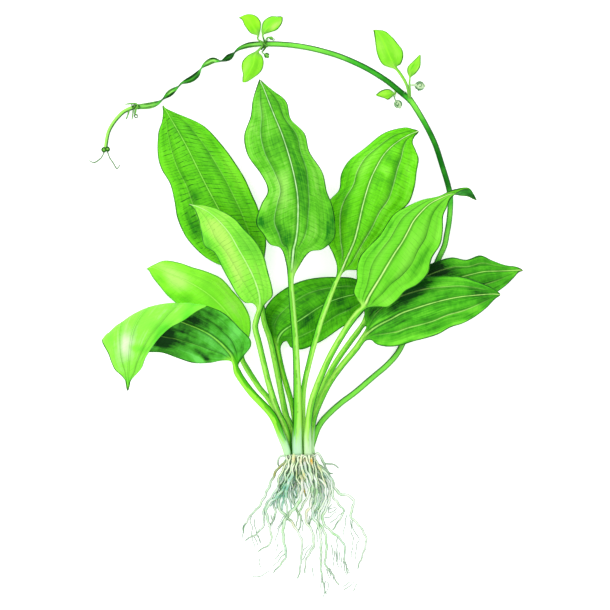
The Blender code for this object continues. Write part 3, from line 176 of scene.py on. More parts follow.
# A stalk's rows, from its foot up, are x, y, z and width. A blade's, from its foot to near its tip, are
# x, y, z of its left margin, of its midrib and of its right margin.
LEAVES = {
    "leaf_centre": dict(
        stalk=((-2.5, 0.3, 23.4, 10.4), (-2.8, 15, 25.2, 10.2), (-2.2, 38, 29, 9.4), (-3, 76, 35, 7.6),
               (-4.6, 113, 41, 6.6), (-7.6, 150, 46.5, 6.4)),
        blade=(
            (-12.2, 175, 49.4, -9.2, 175, 49.4, -6.2, 175, 49.4),
            (-13.6, 191, 51, -7.8, 190, 51.8, -0.6, 189, 51), (-18.5, 206, 51, -6.2, 206, 54, 9, 203, 52),
            (-29, 210.5, 51, -4.5, 213, 56, 22, 206, 52), (-35.5, 220, 52, -2.8, 224, 59, 33.5, 216, 53),
            (-43.5, 232, 54, -2, 238, 63, 34.5, 230, 55), (-38, 250, 58, -2, 253, 66, 31.5, 249, 58),
            (-31.5, 264, 60, -3.5, 267, 68, 26.5, 263, 60), (-39, 281, 58, -7, 284, 69, 21.5, 282, 61),
            (-51.5, 300, 57, -12, 302, 69, 9.5, 302, 63), (-55.3, 318, 58, -18, 320, 68, 4, 320, 62),
            (-48.5, 337, 60, -25, 337, 66, -9, 335, 61), (-47, 353, 58, -31, 352, 62, -14, 352, 58),
            (-43, 366, 56, -36, 365, 57.5, -27, 363.5, 55), (-41, 372, 54, -39, 371.5, 54.5, -36, 371, 54)),
        tip=(-40, 375, 53)),
    "leaf_back_left": dict(
        stalk=((-3.8, 0.3, 15, 6.8), (-4.5, 12, 13.9, 6.6), (-7.4, 23, 13.2, 6.4), (-11, 33, 13.2, 6.3),
               (-14.7, 42, 13.4, 6.2), (-21.5, 76, 13.5, 6), (-29.2, 113, 13.6, 6), (-35.3, 132, 13.8, 6)),
        blade=(
            (-41.5, 150, 14, -38.5, 150, 14.2, -35.5, 150, 14),
            (-49, 168, 13, -42, 166, 15, -36.5, 167, 15), (-66, 184, 12, -48, 180, 16, -37, 182, 16),
            (-84, 192, 11, -54, 194, 17.5, -36, 197, 18), (-99, 202, 9.5, -61, 208, 19, -34.5, 213, 21),
            (-114, 218, 8, -69, 223, 20, -37.5, 230, 23), (-122, 236, 7, -78, 240, 20.5, -43, 248, 25),
            (-125, 253, 6.5, -85, 253, 20, -48.5, 260, 25), (-130, 271, 6, -94, 270, 19, -56, 277, 24),
            (-138.5, 287, 5.5, -103, 288, 17.5, -66, 293, 22),
            (-142.5, 304, 5, -113, 308, 15, -78.5, 310, 18),
            (-142, 322, 4.5, -122.5, 325, 12, -93, 326, 14),
            (-138, 334, 4.5, -129, 336, 9, -105.5, 334.5, 10.5),
            (-137, 343, 5, -133, 343, 7.5, -124.5, 342.5, 7.5),
            (-137.4, 348.4, 6, -136.4, 348.4, 6.5, -134.6, 347.4, 6.5)),
        tip=(-137.2, 350.6, 6.2)),
    "leaf_upper_right": dict(
        stalk=((3.8, 0.3, 15, 6.6), (3.2, 15, 16.4, 6.2), (2.6, 38, 18.5, 5.8), (3.6, 65.6, 21, 5.6),
               (9.6, 94, 23.2, 5.6), (19.5, 130, 25.2, 5.8), (26.5, 150, 26, 6)),
        blade=(
            (32, 170, 26.5, 35, 171, 26.8, 38, 172.5, 26.5), (36.5, 180, 26.5, 41, 183, 28, 45, 184, 27),
            (37, 191, 26.5, 46, 195, 29, 57, 186, 27), (33.5, 202, 26, 51, 206, 30, 62, 195, 28),
            (28, 213, 25, 55, 216, 31, 70, 208, 30), (24, 228, 24, 58.5, 230, 31, 83, 223, 31),
            (23.5, 242, 23.5, 62, 246, 31, 95, 240, 33), (30, 255, 24, 66, 261, 31, 108, 252, 34),
            (39.5, 266, 25, 70.5, 275, 31, 114, 268, 34), (42, 281, 25, 76, 287, 31, 116, 283, 33),
            (50, 295, 25.5, 83, 299, 31, 118, 296, 32), (66, 308, 27, 91, 308, 31, 115, 305, 31),
            (84, 321.5, 28, 101, 315.5, 31, 112, 313, 30),
            (104, 327, 28, 110, 320.5, 29.5, 114.5, 319, 29),
            (114, 325.5, 28, 116, 323, 28.2, 117, 321.5, 28)),
        tip=(119, 324, 27.5)),
    "leaf_right": dict(
        stalk=((8.1, 0.3, 23.4, 8.6), (7.8, 12, 25.6, 8.2), (8, 25, 28, 7.6), (12.6, 56, 33.5, 6.8),
               (28.2, 95, 39.5, 6.4), (44.7, 124, 43.5, 6.4), (56.8, 141, 45.6, 6.6)),
        blade=(
            (60.8, 149.2, 46.5, 63.2, 147.6, 46.5, 65.8, 145.9, 46.5),
            (57, 156, 46, 66, 152.5, 48, 78, 148.5, 47), (54, 163.5, 46, 69, 159, 49.5, 87, 148.5, 48),
            (57, 175, 48, 74, 167.5, 52, 95.5, 154, 50), (57, 187, 50, 81, 179, 55, 105, 164.5, 52),
            (61, 199, 52, 88, 191, 58, 117, 171, 55), (71, 210, 54, 95, 202.5, 61, 126.5, 181, 57),
            (79.5, 219, 56, 102, 213, 64, 131, 197, 60), (87, 231, 58, 108, 224, 66, 139, 210.5, 62),
            (94, 240, 60, 113, 233.5, 68, 141.5, 224, 64), (106, 247, 63, 121, 243, 69, 142, 238, 66),
            (122, 254.5, 65, 130, 251, 69, 145.5, 247, 67.5),
            (138, 258.5, 67, 142, 257, 69, 148.5, 254.5, 69.5),
            (150, 263.2, 66.5, 152, 260.3, 67.5, 153.2, 258.7, 72),
            (157, 265.2, 66, 160, 259.3, 66, 157.6, 262.4, 74),
            (163, 266.3, 65, 167, 258.6, 64.5, 163.5, 265.2, 74),
            (168.5, 265.8, 63, 172, 256.3, 62, 169.3, 264.6, 71.5),
            (172.6, 261, 61, 174.3, 255.2, 60, 172.8, 260.2, 66)),
        tip=(176.3, 254, 60)),
    "leaf_low_left": dict(
        stalk=((-9.4, 0.3, 6.7, 6.2), (-12, 14, 7, 6), (-20, 34, 7.4, 5.8), (-31, 55, 7.8, 5.6),
               (-40, 66, 8.2, 5.6), (-46, 75, 8.6, 5.6), (-53, 86, 9.1, 5.8)),
        blade=(
            (-62, 96.5, 9.5, -59, 97.5, 9.6, -56, 98.5, 9.5), (-69, 103, 9, -60, 108, 10.5, -53, 112, 10),
            (-80, 110, 9, -62, 119, 12, -50, 124, 11.5), (-92, 119, 9, -66, 131, 13, -51, 138, 12.5),
            (-104, 130, 8.5, -73, 142, 13.5, -58, 152, 12.5), (-114, 141, 8, -81, 151, 13.5, -68, 164, 12),
            (-123, 151, 7, -91, 160, 13, -79, 176, 10.5), (-133, 160, 6, -102, 167.5, 12, -93, 182.5, 8.5),
            (-141, 170, 5, -114, 174, 10, -107, 187, 6), (-147.5, 178, 4, -127, 179, 7.5, -121, 192, 3.6),
            (-151, 184, 2.8, -139, 184, 4.8, -135.5, 194, 1.6),
            (-153, 186, 2.2, -148, 187.5, 2.8, -146, 190.5, 1.2)),
        tip=(-154.5, 186, 1.8)),
    "leaf_front_left": dict(
        stalk=((-11.1, 0.3, 15, 6.8), (-11.3, 10, 16.6, 6.8), (-12.2, 19, 18.6, 6.9),
               (-16, 30.5, 20.8, 6.9), (-21.8, 42, 22.6, 6.6), (-30, 67, 26, 6.2), (-36.5, 93, 28.6, 6),
               (-41, 112, 30.4, 6), (-44.7, 127, 31.8, 6), (-43.3, 136, 32.6, 6)),
        blade=(
            (-43.4, 146, 33.2, -40.4, 146, 33.4, -37.4, 146, 33.2),
            (-47, 151.5, 33, -39.9, 151, 34.8, -33.5, 152.5, 34),
            (-55, 152.8, 33, -40.5, 158, 36, -28, 159, 35),
            (-62.8, 161, 33, -42.5, 167, 37.5, -28.5, 168, 37),
            (-71, 176, 33.5, -47, 179, 39, -32.5, 183, 39), (-78.5, 190, 34, -54, 193, 40, -37, 200, 41),
            (-85.5, 202.5, 34, -62, 207, 41, -45, 214, 43), (-95, 210, 34, -70, 221, 41, -56.5, 226, 43.5),
            (-99, 226, 34, -80, 233, 40.5, -66, 236.5, 43), (-101, 236, 34.5, -90, 242, 39, -79, 244, 41),
            (-104.5, 245, 35, -100, 247.5, 37, -92.5, 248.7, 38)),
        tip=(-111, 251, 35)),
    "leaf_folded_left": dict(
        upper_side_down_at_base=True,
        stalk=((-12.4, 0.3, 23.2, 7.4), (-14, 7, 24, 7.6), (-18.6, 19, 25.2, 8), (-27.8, 39.8, 27.4, 7.8),
               (-46.8, 60.5, 29.8, 7.5), (-57.9, 75, 31.4, 7.3), (-63, 84, 32.2, 7.3)),
        blade=(
            (-61.5, 90.2, 33, -64.9, 91.5, 33, -68.2, 92.8, 33),
            (-56, 99.5, 35, -68, 99.5, 34, -77, 94.6, 33), (-49.8, 108.5, 37, -73, 106, 35, -90, 92.5, 32),
            (-50.8, 116.5, 38, -81, 114, 35.5, -106, 92.5, 31),
            (-60, 126, 39, -91, 121.5, 36, -121, 97, 31), (-70, 136.5, 40, -104, 128, 36, -137, 102.5, 31),
            (-79, 143, 41, -119, 134, 37, -153, 103.5, 32),
            (-86.5, 146.5, 42.5, -134, 140, 38.5, -170, 107, 33.5),
            (-90.5, 148.5, 45, -145, 145.3, 42, -186, 112, 37),
            (-92.5, 149.3, 50, -150, 147.8, 48.5, -196, 115.8, 43),
            (-94, 148, 55.5, -154, 144.5, 55, -196.3, 112.5, 49),
            (-103, 143.5, 59.5, -161, 135, 59.3, -193.5, 107, 52.5),
            (-115, 135, 61.5, -166, 124, 61, -190.5, 101, 54),
            (-129, 127.5, 61.5, -168.6, 111.5, 60.4, -188, 94, 53.5),
            (-142, 115, 59, -170, 99, 58, -184, 86, 52),
            (-154, 97.5, 54, -171, 87.5, 53.8, -178.6, 81, 49.5),
            (-158.8, 86.5, 49, -171.6, 80, 49, -176, 77.6, 46),
            (-168.5, 75.5, 45.5, -171.8, 74, 45, -174, 74.4, 44),
            (-170.3, 70, 43, -171.7, 69.6, 43, -173.2, 69.8, 42.8)),
        tip=(-172, 64, 41)),
    "leaf_behind_centre": dict(
        stalk=((-2.8, 0.3, 6.7, 5.8), (-3.5, 15, 7, 5.8), (-5, 32, 7.5, 5.6), (-8, 50, 8.2, 5.6),
               (-12.5, 66, 8.7, 5.6), (-17, 81, 9.2, 5.6), (-20.5, 96, 9.6, 5.6)),
        blade=(
            (-25, 107.5, 10, -22.2, 107, 10, -19.4, 106.5, 10),
            (-28, 117, 9, -22.2, 114, 10.6, -17, 112.5, 10),
            (-32.5, 127, 8, -20, 120, 11.3, -13, 113.5, 10), (-37, 137, 7, -15.5, 125, 12, -9.5, 108, 9.5),
            (-34, 147.5, 7, -8, 130, 12.8, 1, 106, 9), (-25, 158.5, 7.6, 0, 135, 13.4, 11, 109.5, 8),
            (-11, 168, 8, 9, 141, 13.6, 22, 114.5, 7), (5, 174.5, 8.2, 18, 147, 13.4, 32, 121, 6),
            (23, 177.5, 8, 28, 152.5, 12.6, 43, 129, 5), (40, 177.5, 7.5, 40, 157, 11.4, 54, 134.5, 4),
            (54, 176, 7, 52, 160, 9.8, 62, 141.5, 3.2), (65, 170, 6, 63, 161.5, 7.5, 69, 151, 2.8),
            (70, 165.5, 4.6, 70, 162.3, 5, 71.4, 158.5, 3.8)),
        tip=(73, 162.5, 4)),
    "leaf_back_right": dict(
        stalk=((3.6, 0.3, 6.7, 6.2), (5.5, 20, 7.6, 6), (11, 42, 8.8, 5.8), (20, 63, 10, 5.6),
               (35, 91, 11.5, 5.8), (50.2, 113, 12.7, 5.8), (57.3, 122.3, 13.2, 5.8)),
        blade=(
            (61.4, 132.7, 13.5, 63.4, 130.6, 13.6, 65.4, 128.4, 13.5),
            (67, 145, 12.5, 72, 139, 14.4, 76, 131, 13), (78, 157, 12.5, 84, 146, 15, 91, 133, 12.5),
            (90, 167.5, 12.5, 97, 153, 15.5, 106, 136, 12.2),
            (104, 177, 12.5, 111, 159.5, 15.6, 121, 141, 11.6),
            (119, 185, 12.3, 126, 166, 15.2, 136, 146, 11),
            (134.5, 192, 12, 141, 172, 14.6, 151, 151, 10.4),
            (152, 197, 11, 156, 176.5, 13.6, 166, 155, 9.6),
            (167, 195, 9.5, 171, 180.5, 11.8, 180, 158.5, 8),
            (180.5, 199, 7.5, 185, 183.5, 9.6, 194, 162, 6),
            (192, 194.5, 5.2, 198, 184, 7, 205.5, 169, 3.8),
            (207, 189.7, 3, 211, 184.5, 4, 214, 177.5, 2.2), (217, 188, 2, 218, 185, 2.4, 219, 183, 1.6)),
        tip=(224, 185, 1.2)),
    "leaf_front_right": dict(
        stalk=((11.6, 0.3, 15, 7), (10.9, 10, 16, 6.8), (11.6, 20, 17.6, 6.6), (14.8, 40, 20.6, 6.4),
               (27.2, 68, 24, 6.2), (40, 87, 25.7, 6.2), (50, 99, 26.6, 6.2), (57, 107.5, 27, 6.2)),
        blade=(
            (60.3, 118, 27, 62.8, 115.8, 27, 65.2, 113.6, 27), (66, 127, 26, 67, 121, 28, 71, 115, 27),
            (65, 137, 26, 73, 126, 29, 77, 111, 27.5), (65.5, 148, 26.5, 81, 131, 30, 88, 109, 28),
            (75, 160, 27.5, 91, 136, 31, 101, 110.5, 28), (89, 169, 28.5, 102, 142, 31.6, 113, 114, 27.5),
            (106, 175, 29, 115, 146.5, 32, 125, 117, 26.5), (124, 178, 29, 129, 151, 32, 138, 121.5, 25.5),
            (143, 178.5, 28.5, 144, 155, 31.6, 150, 128, 25),
            (160, 178, 28, 159, 158, 30.8, 163, 132, 24.6),
            (174, 174.5, 27.2, 172, 159.5, 29.6, 175, 139, 24.4),
            (186, 169.5, 26.2, 184, 160.5, 28, 187, 148.5, 24.4),
            (195, 165, 25, 193, 161, 26.2, 194.5, 156, 24.6)),
        tip=(200.6, 160.3, 24.4)),
}


def place(points):
    """Points in the plant's millimetres, as metres in the shared frame."""
    return (np.asarray(points, float) - (*PLANT_MIDDLE, 0.0)) * MM


def flow(rows, counts):
    """Values on smooth curves through the given rows, counts[n] to the stretch after row n."""
    rows = np.asarray(rows, float)
    ends = np.vstack([2 * rows[:1] - rows[1:2], rows, 2 * rows[-1:] - rows[-2:-1]])
    stretches = []
    for before, start, finish, after, count in zip(ends, ends[1:], ends[2:], ends[3:], counts):
        t = (np.arange(count) / count)[:, None]
        bend = 2 * before - 5 * start + 4 * finish - after
        twist = 3 * start - before - 3 * finish + after
        stretches.append((2 * start + (finish - before) * t + bend * t ** 2 + twist * t ** 3) / 2)
    return np.vstack(stretches + [rows[-1:]])


def unit(vectors):
    """Each vector at length 1."""
    return vectors / np.maximum(np.linalg.norm(vectors, axis=-1, keepdims=True), 1e-9)


def ease(low, high, values):
    """0 below low, 1 above high, and a smooth step between."""
    t = np.clip((values - low) / (high - low), 0, 1)
    return t * t * (3 - 2 * t)


def travelled(points):
    """How far along a line of points each one lies."""
    return np.concatenate([[0.0], np.cumsum(np.linalg.norm(np.diff(points, axis=0), axis=1))])


def rolled(name, rings, marks):
    """A closed skin: a grid with a row to each ring, rolled up, joined at the seam and capped.

    rings has a ring of points to each station. marks are named values, one to each of those points,
    which the finish reads.
    """
    stations, around = rings.shape[:2]
    shape = bmesh.new()
    bmesh.ops.create_grid(shape, x_segments=around, y_segments=stations - 1, size=1)
    mesh = bpy.data.meshes.new(name)
    shape.to_mesh(mesh)
    shape.clear()
    mesh.vertices.foreach_set("co", place(np.concatenate([rings, rings[:, :1]], axis=1)).ravel())
    for mark, values in marks.items():
        layer = mesh.attributes.new(mark, "FLOAT", "POINT")
        values = np.broadcast_to(values, (stations, around))
        layer.data.foreach_set("value", np.concatenate([values, values[:, :1]], axis=1).ravel())
    shape.from_mesh(mesh)
    bmesh.ops.remove_doubles(shape, verts=shape.verts, dist=SEAM)
    bmesh.ops.holes_fill(shape, edges=[edge for edge in shape.edges if edge.is_boundary], sides=0)
    bmesh.ops.recalc_face_normals(shape, faces=shape.faces)
    shape.to_mesh(mesh)
    shape.free()
    mesh.shade_smooth()
    return mesh


def grown(skin, finish, node=None):
    """A finished piece of the plant: it rides on the plant, and stands for its solid if it has one."""
    skin.materials.append(finish)
    piece = bpy.data.objects.new(skin.name, skin)
    bpy.context.collection.objects.link(piece)
    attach(piece, "root")
    if node:
        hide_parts(node)


def depth_of_stalk(width):
    """A stalk is nearly round, but the widest are flatter."""
    return min(width * STALK_ROUNDNESS, STALK_DEEPEST)


def leaf_stations(stalk, blade, turned, stalk_step, blade_step):
    """Rows of left, rib and right points, then rib width, depth and top, and how much is blade."""
    turn = -1 if turned else 1
    middles = [Vector(row[:3]) for row in stalk] + [Vector(blade[0][3:6])]
    rows = []
    for index, row in enumerate(stalk):
        along = middles[index + 1] - middles[max(index - 1, 0)]
        if index == 0 and row[1] == CROWN_FACE:
            along = Vector((0, 1, 0))
        side = along.cross(Vector((0, 0, 1))).normalized() * turn * row[3] / 2
        depth = depth_of_stalk(row[3])
        rows.append((*(middles[index] - side), *middles[index], *(middles[index] + side),
                     row[3], depth, depth / 2, 0.0))
    depth = depth_of_stalk(stalk[-1][3])
    for index, row in enumerate(blade):
        share = index / len(blade)
        taper = (1 - share) ** RIB_TAPER
        width = RIB_WIDTH_AT_TIP + (depth * RIB_SHARE_OF_STALK - RIB_WIDTH_AT_TIP) * taper
        thick = RIB_DEPTH_AT_TIP + (depth - RIB_DEPTH_AT_TIP) * taper
        top = min(thick / 2, RIB_TOP_AT_TIP + thick / 2 * max(0.0, 1 - share / RIB_SINKS_BY))
        if index == 0:
            width, thick, top = math.dist(row[:3], row[6:]), depth, depth / 2
        rows.append((*row, width, thick, top, min(1.0, index / 2)))
    middles = [row[3:6] for row in rows]
    steps = [stalk_step] * len(stalk) + [blade_step] * len(blade)
    counts = [max(2, round(math.dist(a, b) / step)) for a, b, step in zip(middles, middles[1:], steps)]
    return flow(rows, counts), sum(counts[:len(stalk)])


def half_columns(half, rib, tipward, veins, beside):
    """Where a half blade's points lie between rib (0) and margin (1), and what each is like there.

    Each point has four qualities: how pale it is, how dark with painted shade, how high a vein stands and
    how full the blade swells. beside is how dark the painted shade on the midrib's sides is.
    """
    none = [0.0] * len(FIELD_COLUMNS)
    swollen = [math.sin(math.pi * column) for column in FIELD_COLUMNS]
    edge = np.minimum(RIB_COLUMNS[-1] * rib / half, RIB_MOST)
    places = [edge * column / RIB_COLUMNS[-1] for column in RIB_COLUMNS]
    pale, line, rise, puff = list(RIB_PALE), [dark * beside for dark in RIB_SIDE_SHADE], [*none], [*none]
    last = edge
    for paleness, darkness, shares in veins:
        share = np.interp(tipward, np.linspace(0, 1, len(shares)), shares)
        share = np.maximum(share, last + VEIN_ROOM)
        near = np.minimum(VEIN_HALF_WIDTH / half, VEIN_MOST * (share - last))
        places += [last + (share - 2 * near - last) * column for column in FIELD_COLUMNS]
        places += [share + near * column for column in VEIN_COLUMNS]
        pale += none + [part * paleness for part in VEIN_PALE]
        line += [*FIELD_SHADE[:-1], FIELD_SHADE[-1] + VEIN_SHADE * darkness]
        line += [part * darkness for part in VEIN_SIDE_SHADE]
        rise += none + [part * darkness for part in VEIN_FORM]
        puff += swollen + none
        last = share + 2 * near
    places += [last + (MARGIN_COLUMNS[0] - last) * column for column in FIELD_COLUMNS]
    places += [np.full(len(half), column) for column in MARGIN_COLUMNS]
    at_margin = [0.0] * len(MARGIN_COLUMNS)
    qualities = [quality + part + at_margin
                 for quality, part in ((pale, none), (line, none), (rise, none), (puff, swollen))]
    return np.stack(places, axis=1), np.array(qualities)


def both_ways(left, right):
    """Values from rib to margin on each half, as one row from the left margin to the right one."""
    return np.concatenate([left[..., ::-1], right[..., 1:]], axis=-1)


def round_the_leaf(upper, lower):
    """Values of the upper face from left to right, then of the lower face back to the left."""
    return np.concatenate([upper, lower[:, -2:0:-1]], axis=1)


def patched_tone_light_and_shade(patches, points, along):
    """Each blade point's painted highlight (above 0) or painted shade, and its tone, from its look's patches.
    """
    tone_light_and_shade = np.zeros(points.shape[:2])
    for x, y, spread_across, spread_along, strength in patches:
        away = points[..., :2] - (x, y)
        off_along = np.sum(away * along[..., :2], axis=2)
        off_across = away[..., 0] * along[..., 1] - away[..., 1] * along[..., 0]
        tone_light_and_shade += strength * np.exp(-(off_along / spread_along) ** 2 - (off_across / spread_across) ** 2)
    return tone_light_and_shade


def leaf_mesh(name, leaf, look, stalk_step=STALK_STEP, blade_step=BLADE_STEP):
    """The skin of one leaf, from the foot of its stalk to the tip of its blade, with its marks."""
    table_rows, foot_of_blade = leaf_stations(leaf["stalk"], (*leaf["blade"], leaf["tip"] * 3),
                                              leaf.get("upper_side_down_at_base"), stalk_step, blade_step)
    left, rib, right = (table_rows[:, None, start:start + 3] for start in (0, 3, 6))
    width, thick, top, blade = (table_rows[:, None, column] for column in (9, 10, 11, 12))
    blade = np.clip(blade, 0, 1)
    length = travelled(rib[:, 0]) - travelled(rib[:, 0])[foot_of_blade]
    tipward = np.clip(length / length[-1], 0, 1)[:, None]
    last_bit = np.sqrt(np.clip((length[-1] - length) / TIP_ROUNDING, 0, 1))[:, None]

    # Points across the blade: across runs from -1 at the left margin to 1 at the right one.
    halves = [np.maximum(np.linalg.norm(side - rib, axis=2)[:, 0], TIP_SIZE) for side in (left, right)]
    left, right = (rib + (side - rib) * (1 + MARGIN_GROWTH * blade[..., None] / half[:, None, None])
                   for side, half in zip((left, right), halves))
    made = [half_columns(half, width[:, 0] / 2, tipward[:, 0], look[veins], look["rib_side_shade"])
            for half, veins in zip(halves, ("veins_left", "veins_right"))]
    even = np.sin(np.linspace(0, math.pi / 2, made[0][0].shape[1]))
    places = [even * (1 - blade) + columns * blade for columns, _ in made]
    across = both_ways(-places[0], places[1])
    pale, line, rise, puff = (both_ways(made[0][1][row], made[1][1][row])[None, :] for row in range(4))
    reach = np.abs(across)
    half = np.where(across < 0, halves[0][:, None], halves[1][:, None])

    # The sheet midway between the two faces, and which way is up from it.
    along = unit(np.gradient(rib[:, 0], axis=0))[:, None]
    up_left = unit(np.cross(rib - left, along))
    up_right = unit(np.cross(right - rib, along))
    bad = np.linalg.norm(rib - left, axis=2)[:, 0] < TIP_SIZE
    up_left[bad], up_right[bad] = up_left[~bad][-1], up_right[~bad][-1]
    lean = ease(-RIB_FOLD, RIB_FOLD, across)[..., None]
    up = unit(up_left * (1 - lean) + up_right * lean)
    margin = np.where(across[..., None] < 0, left, right)
    sheet = rib + (margin - rib) * reach[..., None]

    # How far the upper and lower faces stand off the sheet, over the midrib and on the wings.
    inside = np.clip(1 - (reach * half / (width / 2)) ** 2, 0, 1)
    bulge = thick / 2 * np.sqrt(inside)
    middle = top - thick / 2
    wing = BLADE_THICKNESS / 2 * (1 - BLADE_THINNING * reach ** 2) * np.sqrt(1 - reach ** MARGIN_SHARPNESS)
    wing = wing * blade
    upper = np.where(inside > 0, np.maximum(wing, middle + bulge), wing)
    lower = np.where(inside > 0, np.minimum(-wing, middle - bulge), -wing)

    # The blade's waves, its swelling between the veins, and the veins and cross veins themselves.
    crossing = (length[:, None] + CROSS_SLANT * reach * half) / CROSS_SPACING
    groove = np.clip(np.cos(2 * math.pi * crossing), 0, 1) ** CROSS_SHARPNESS
    groove = groove * ease(*CROSS_FADES[0], reach) * ease(*CROSS_FADES[1], reach)
    wave_size, wave_length, wave_start = look["wave"]
    phase = np.where(across < 0, wave_start, wave_start + WAVE_LAG)
    wave = wave_size * np.sin(2 * math.pi * length[:, None] / wave_length + phase) * reach ** WAVE_BEGINS
    wave *= ease(*WAVE_FADES[0], tipward) * ease(*WAVE_FADES[1], tipward)
    swell = BLADE_SWELL * 4 * reach * (1 - reach) * half
    shape = blade * (swell + wave + FIELD_PUFF * puff * np.minimum(half / FULL_PUFF_FROM, 1))
    raised = blade * (VEIN_RISE * rise - CROSS_DEPTH * groove)
    sunk = blade * (VEIN_RISE_BELOW * rise * np.minimum(half / FULL_RISE_FROM, 1) + CROSS_DEPTH * groove)
    off_margin = ease(*MARGIN_FADE, reach)
    over = sheet + up * (shape + (upper + raised * off_margin) * last_bit)[..., None]
    under = sheet + up * (shape + (lower - sunk * off_margin) * last_bit)[..., None]

    # The marks, which fade at the blade's foot and tip, and are weaker above than below in some looks.
    on_rib = reach * half < PALE_RIB * width
    fading = np.where(on_rib, 1, ease(*PALE_FADES[0], tipward) * ease(*PALE_FADES[1], tipward))
    beyond = np.where(across < 0, 0.0, CROSS_SHIFTS[0])
    beyond = beyond + CROSS_SHIFTS[1] * (reach > look["veins_left"][0][2][1])
    marks = dict(across=across, crossing=crossing + beyond, pale=pale * fading, line=line, blade=blade,
                 tone_light_and_shade=patched_tone_light_and_shade(look["patches"], sheet, along) * blade, foot=travelled(rib[:, 0])[:, None],
                 tipward=tipward, rim=(1 - reach) * half)
    above = {"pale": look["pale_above"], "line": look["veins_above"]}
    marks = {mark: np.broadcast_to(values, across.shape) for mark, values in marks.items()}
    marks = {mark: round_the_leaf(values * above.get(mark, 1.0), values) for mark, values in marks.items()}
    face = np.zeros_like(across)
    face[:, 0] = face[:, -1] = 0.5
    marks["under"] = round_the_leaf(face, 1 - face)
    return rolled(name, round_the_leaf(over, under), marks)


def wired(tree, kind, inputs=None, **options):
    """A shader node with its options set and its inputs given as values or as links."""
    made = tree.nodes.new(kind)
    for option, value in options.items():
        setattr(made, option, value)
    for socket, value in (inputs or {}).items():
        if isinstance(value, bpy.types.NodeSocket):
            tree.links.new(value, made.inputs[socket])
        else:
            made.inputs[socket].default_value = value
    return made


class Paint:
    """A finish group while it is laid out: each of its methods adds a node and gives its result."""

    def __init__(self, name, colours, values=()):
        self.tree = bpy.data.node_groups.new(name, "ShaderNodeTree")
        for way, kind, sockets in (("INPUT", "Color", colours), ("INPUT", "Float", values),
                                   ("OUTPUT", "Color", ("Colour",)),
                                   ("OUTPUT", "Float", ("Roughness", "Height"))):
            for socket in sockets:
                self.tree.interface.new_socket(socket, in_out=way, socket_type="NodeSocket" + kind)
        self.given = wired(self.tree, "NodeGroupInput").outputs

    def mark(self, name):
        """One of the marks that the skin carries."""
        return wired(self.tree, "ShaderNodeAttribute", attribute_name=name).outputs["Fac"]

    def here(self):
        """The place on the skin, in metres."""
        return wired(self.tree, "ShaderNodeTexCoord").outputs["Object"]

    def vector(self, *parts):
        """A place made of two or three values."""
        return wired(self.tree, "ShaderNodeCombineXYZ", dict(zip("XYZ", parts))).outputs[0]

    def noise(self, where, scale, detail=3.0):
        """Soft noise, with scale cells to each unit of the place."""
        inputs = {"Vector": where, "Scale": scale, "Detail": detail}
        return wired(self.tree, "ShaderNodeTexNoise", inputs).outputs["Fac"]

    def sum(self, operation, *values, clamp=False):
        """A sum of one to three values."""
        inputs = dict(enumerate(values))
        return wired(self.tree, "ShaderNodeMath", inputs, operation=operation, use_clamp=clamp).outputs[0]

    def times(self, value, by, plus=None, clamp=False):
        """The value times another, plus a third where one is given."""
        if plus is None:
            return self.sum("MULTIPLY", value, by, clamp=clamp)
        return self.sum("MULTIPLY_ADD", value, by, plus)

    def plus(self, value, other):
        return self.sum("ADD", value, other)

    def less(self, value, other):
        return self.sum("SUBTRACT", value, other)

    def greater(self, value, other):
        return self.sum("MAXIMUM", value, other)

    def size(self, value):
        return self.sum("ABSOLUTE", value)

    def to_and_fro(self, value, top):
        return self.sum("PINGPONG", value, top)

    def step(self, value, low, high, at_low=0.0, at_high=1.0):
        """at_low below low, at_high above high, and a smooth step between."""
        inputs = {"Value": value, "From Min": low, "From Max": high, "To Min": at_low, "To Max": at_high}
        return wired(self.tree, "ShaderNodeMapRange", inputs, interpolation_type="SMOOTHSTEP").outputs[0]

    def over(self, under, over, share):
        """One colour laid over another with the given strength."""
        inputs = {0: share, 6: under, 7: over}
        return wired(self.tree, "ShaderNodeMix", inputs, data_type="RGBA").outputs[2]

    def done(self, colour, roughness, height):
        """The finished group."""
        wired(self.tree, "NodeGroupOutput", {"Colour": colour, "Roughness": roughness, "Height": height})
        return self.tree


PIGMENT = 0.84                # share of a screen colour that a skin needs under this light
GLOSS = 0.009                 # what the shine adds to it
DARKEST, LIGHTEST = 0.002, 0.9
SKIN_ROUNDING = 0.6           # how strongly the relief shows
SKIN_SHINE = 0.1
FLESH_GLOW = (0.5, 1.0, 0.15)
FLESH_DEPTH = 0.0015          # metres that light goes into the flesh


def living(name, group, relief, colours, values=(), through=0.0, lit=1.0):
    """A finish of plant tissue: the group's colours and relief on slightly waxy skin.

    relief is its height in metres, through is how much light goes into the flesh, and lit is how much
    of the light reaches it.
    """
    finish = bpy.data.materials.new(name)
    finish.use_nodes = True
    tree = finish.node_tree
    paint = wired(tree, "ShaderNodeGroup", node_tree=group)
    for socket, colour in colours.items():
        deepened = [min(LIGHTEST, max(DARKEST, PIGMENT * part / lit - GLOSS)) for part in linear(*colour)[:3]]
        paint.inputs[socket].default_value = [*deepened, 1.0]
    for socket, value in dict(values).items():
        paint.inputs[socket].default_value = value
    skin = wired(tree, "ShaderNodeBump", {"Height": paint.outputs["Height"], "Distance": relief,
                                          "Strength": SKIN_ROUNDING})
    shader = tree.nodes["Principled BSDF"]
    tree.links.new(paint.outputs["Colour"], shader.inputs["Base Color"])
    tree.links.new(paint.outputs["Roughness"], shader.inputs["Roughness"])
    tree.links.new(skin.outputs["Normal"], shader.inputs["Normal"])
    shader.inputs["Specular IOR Level"].default_value = SKIN_SHINE
    shader.inputs["Subsurface Weight"].default_value = through
    shader.inputs["Subsurface Radius"].default_value = FLESH_GLOW
    shader.inputs["Subsurface Scale"].default_value = FLESH_DEPTH
    return finish


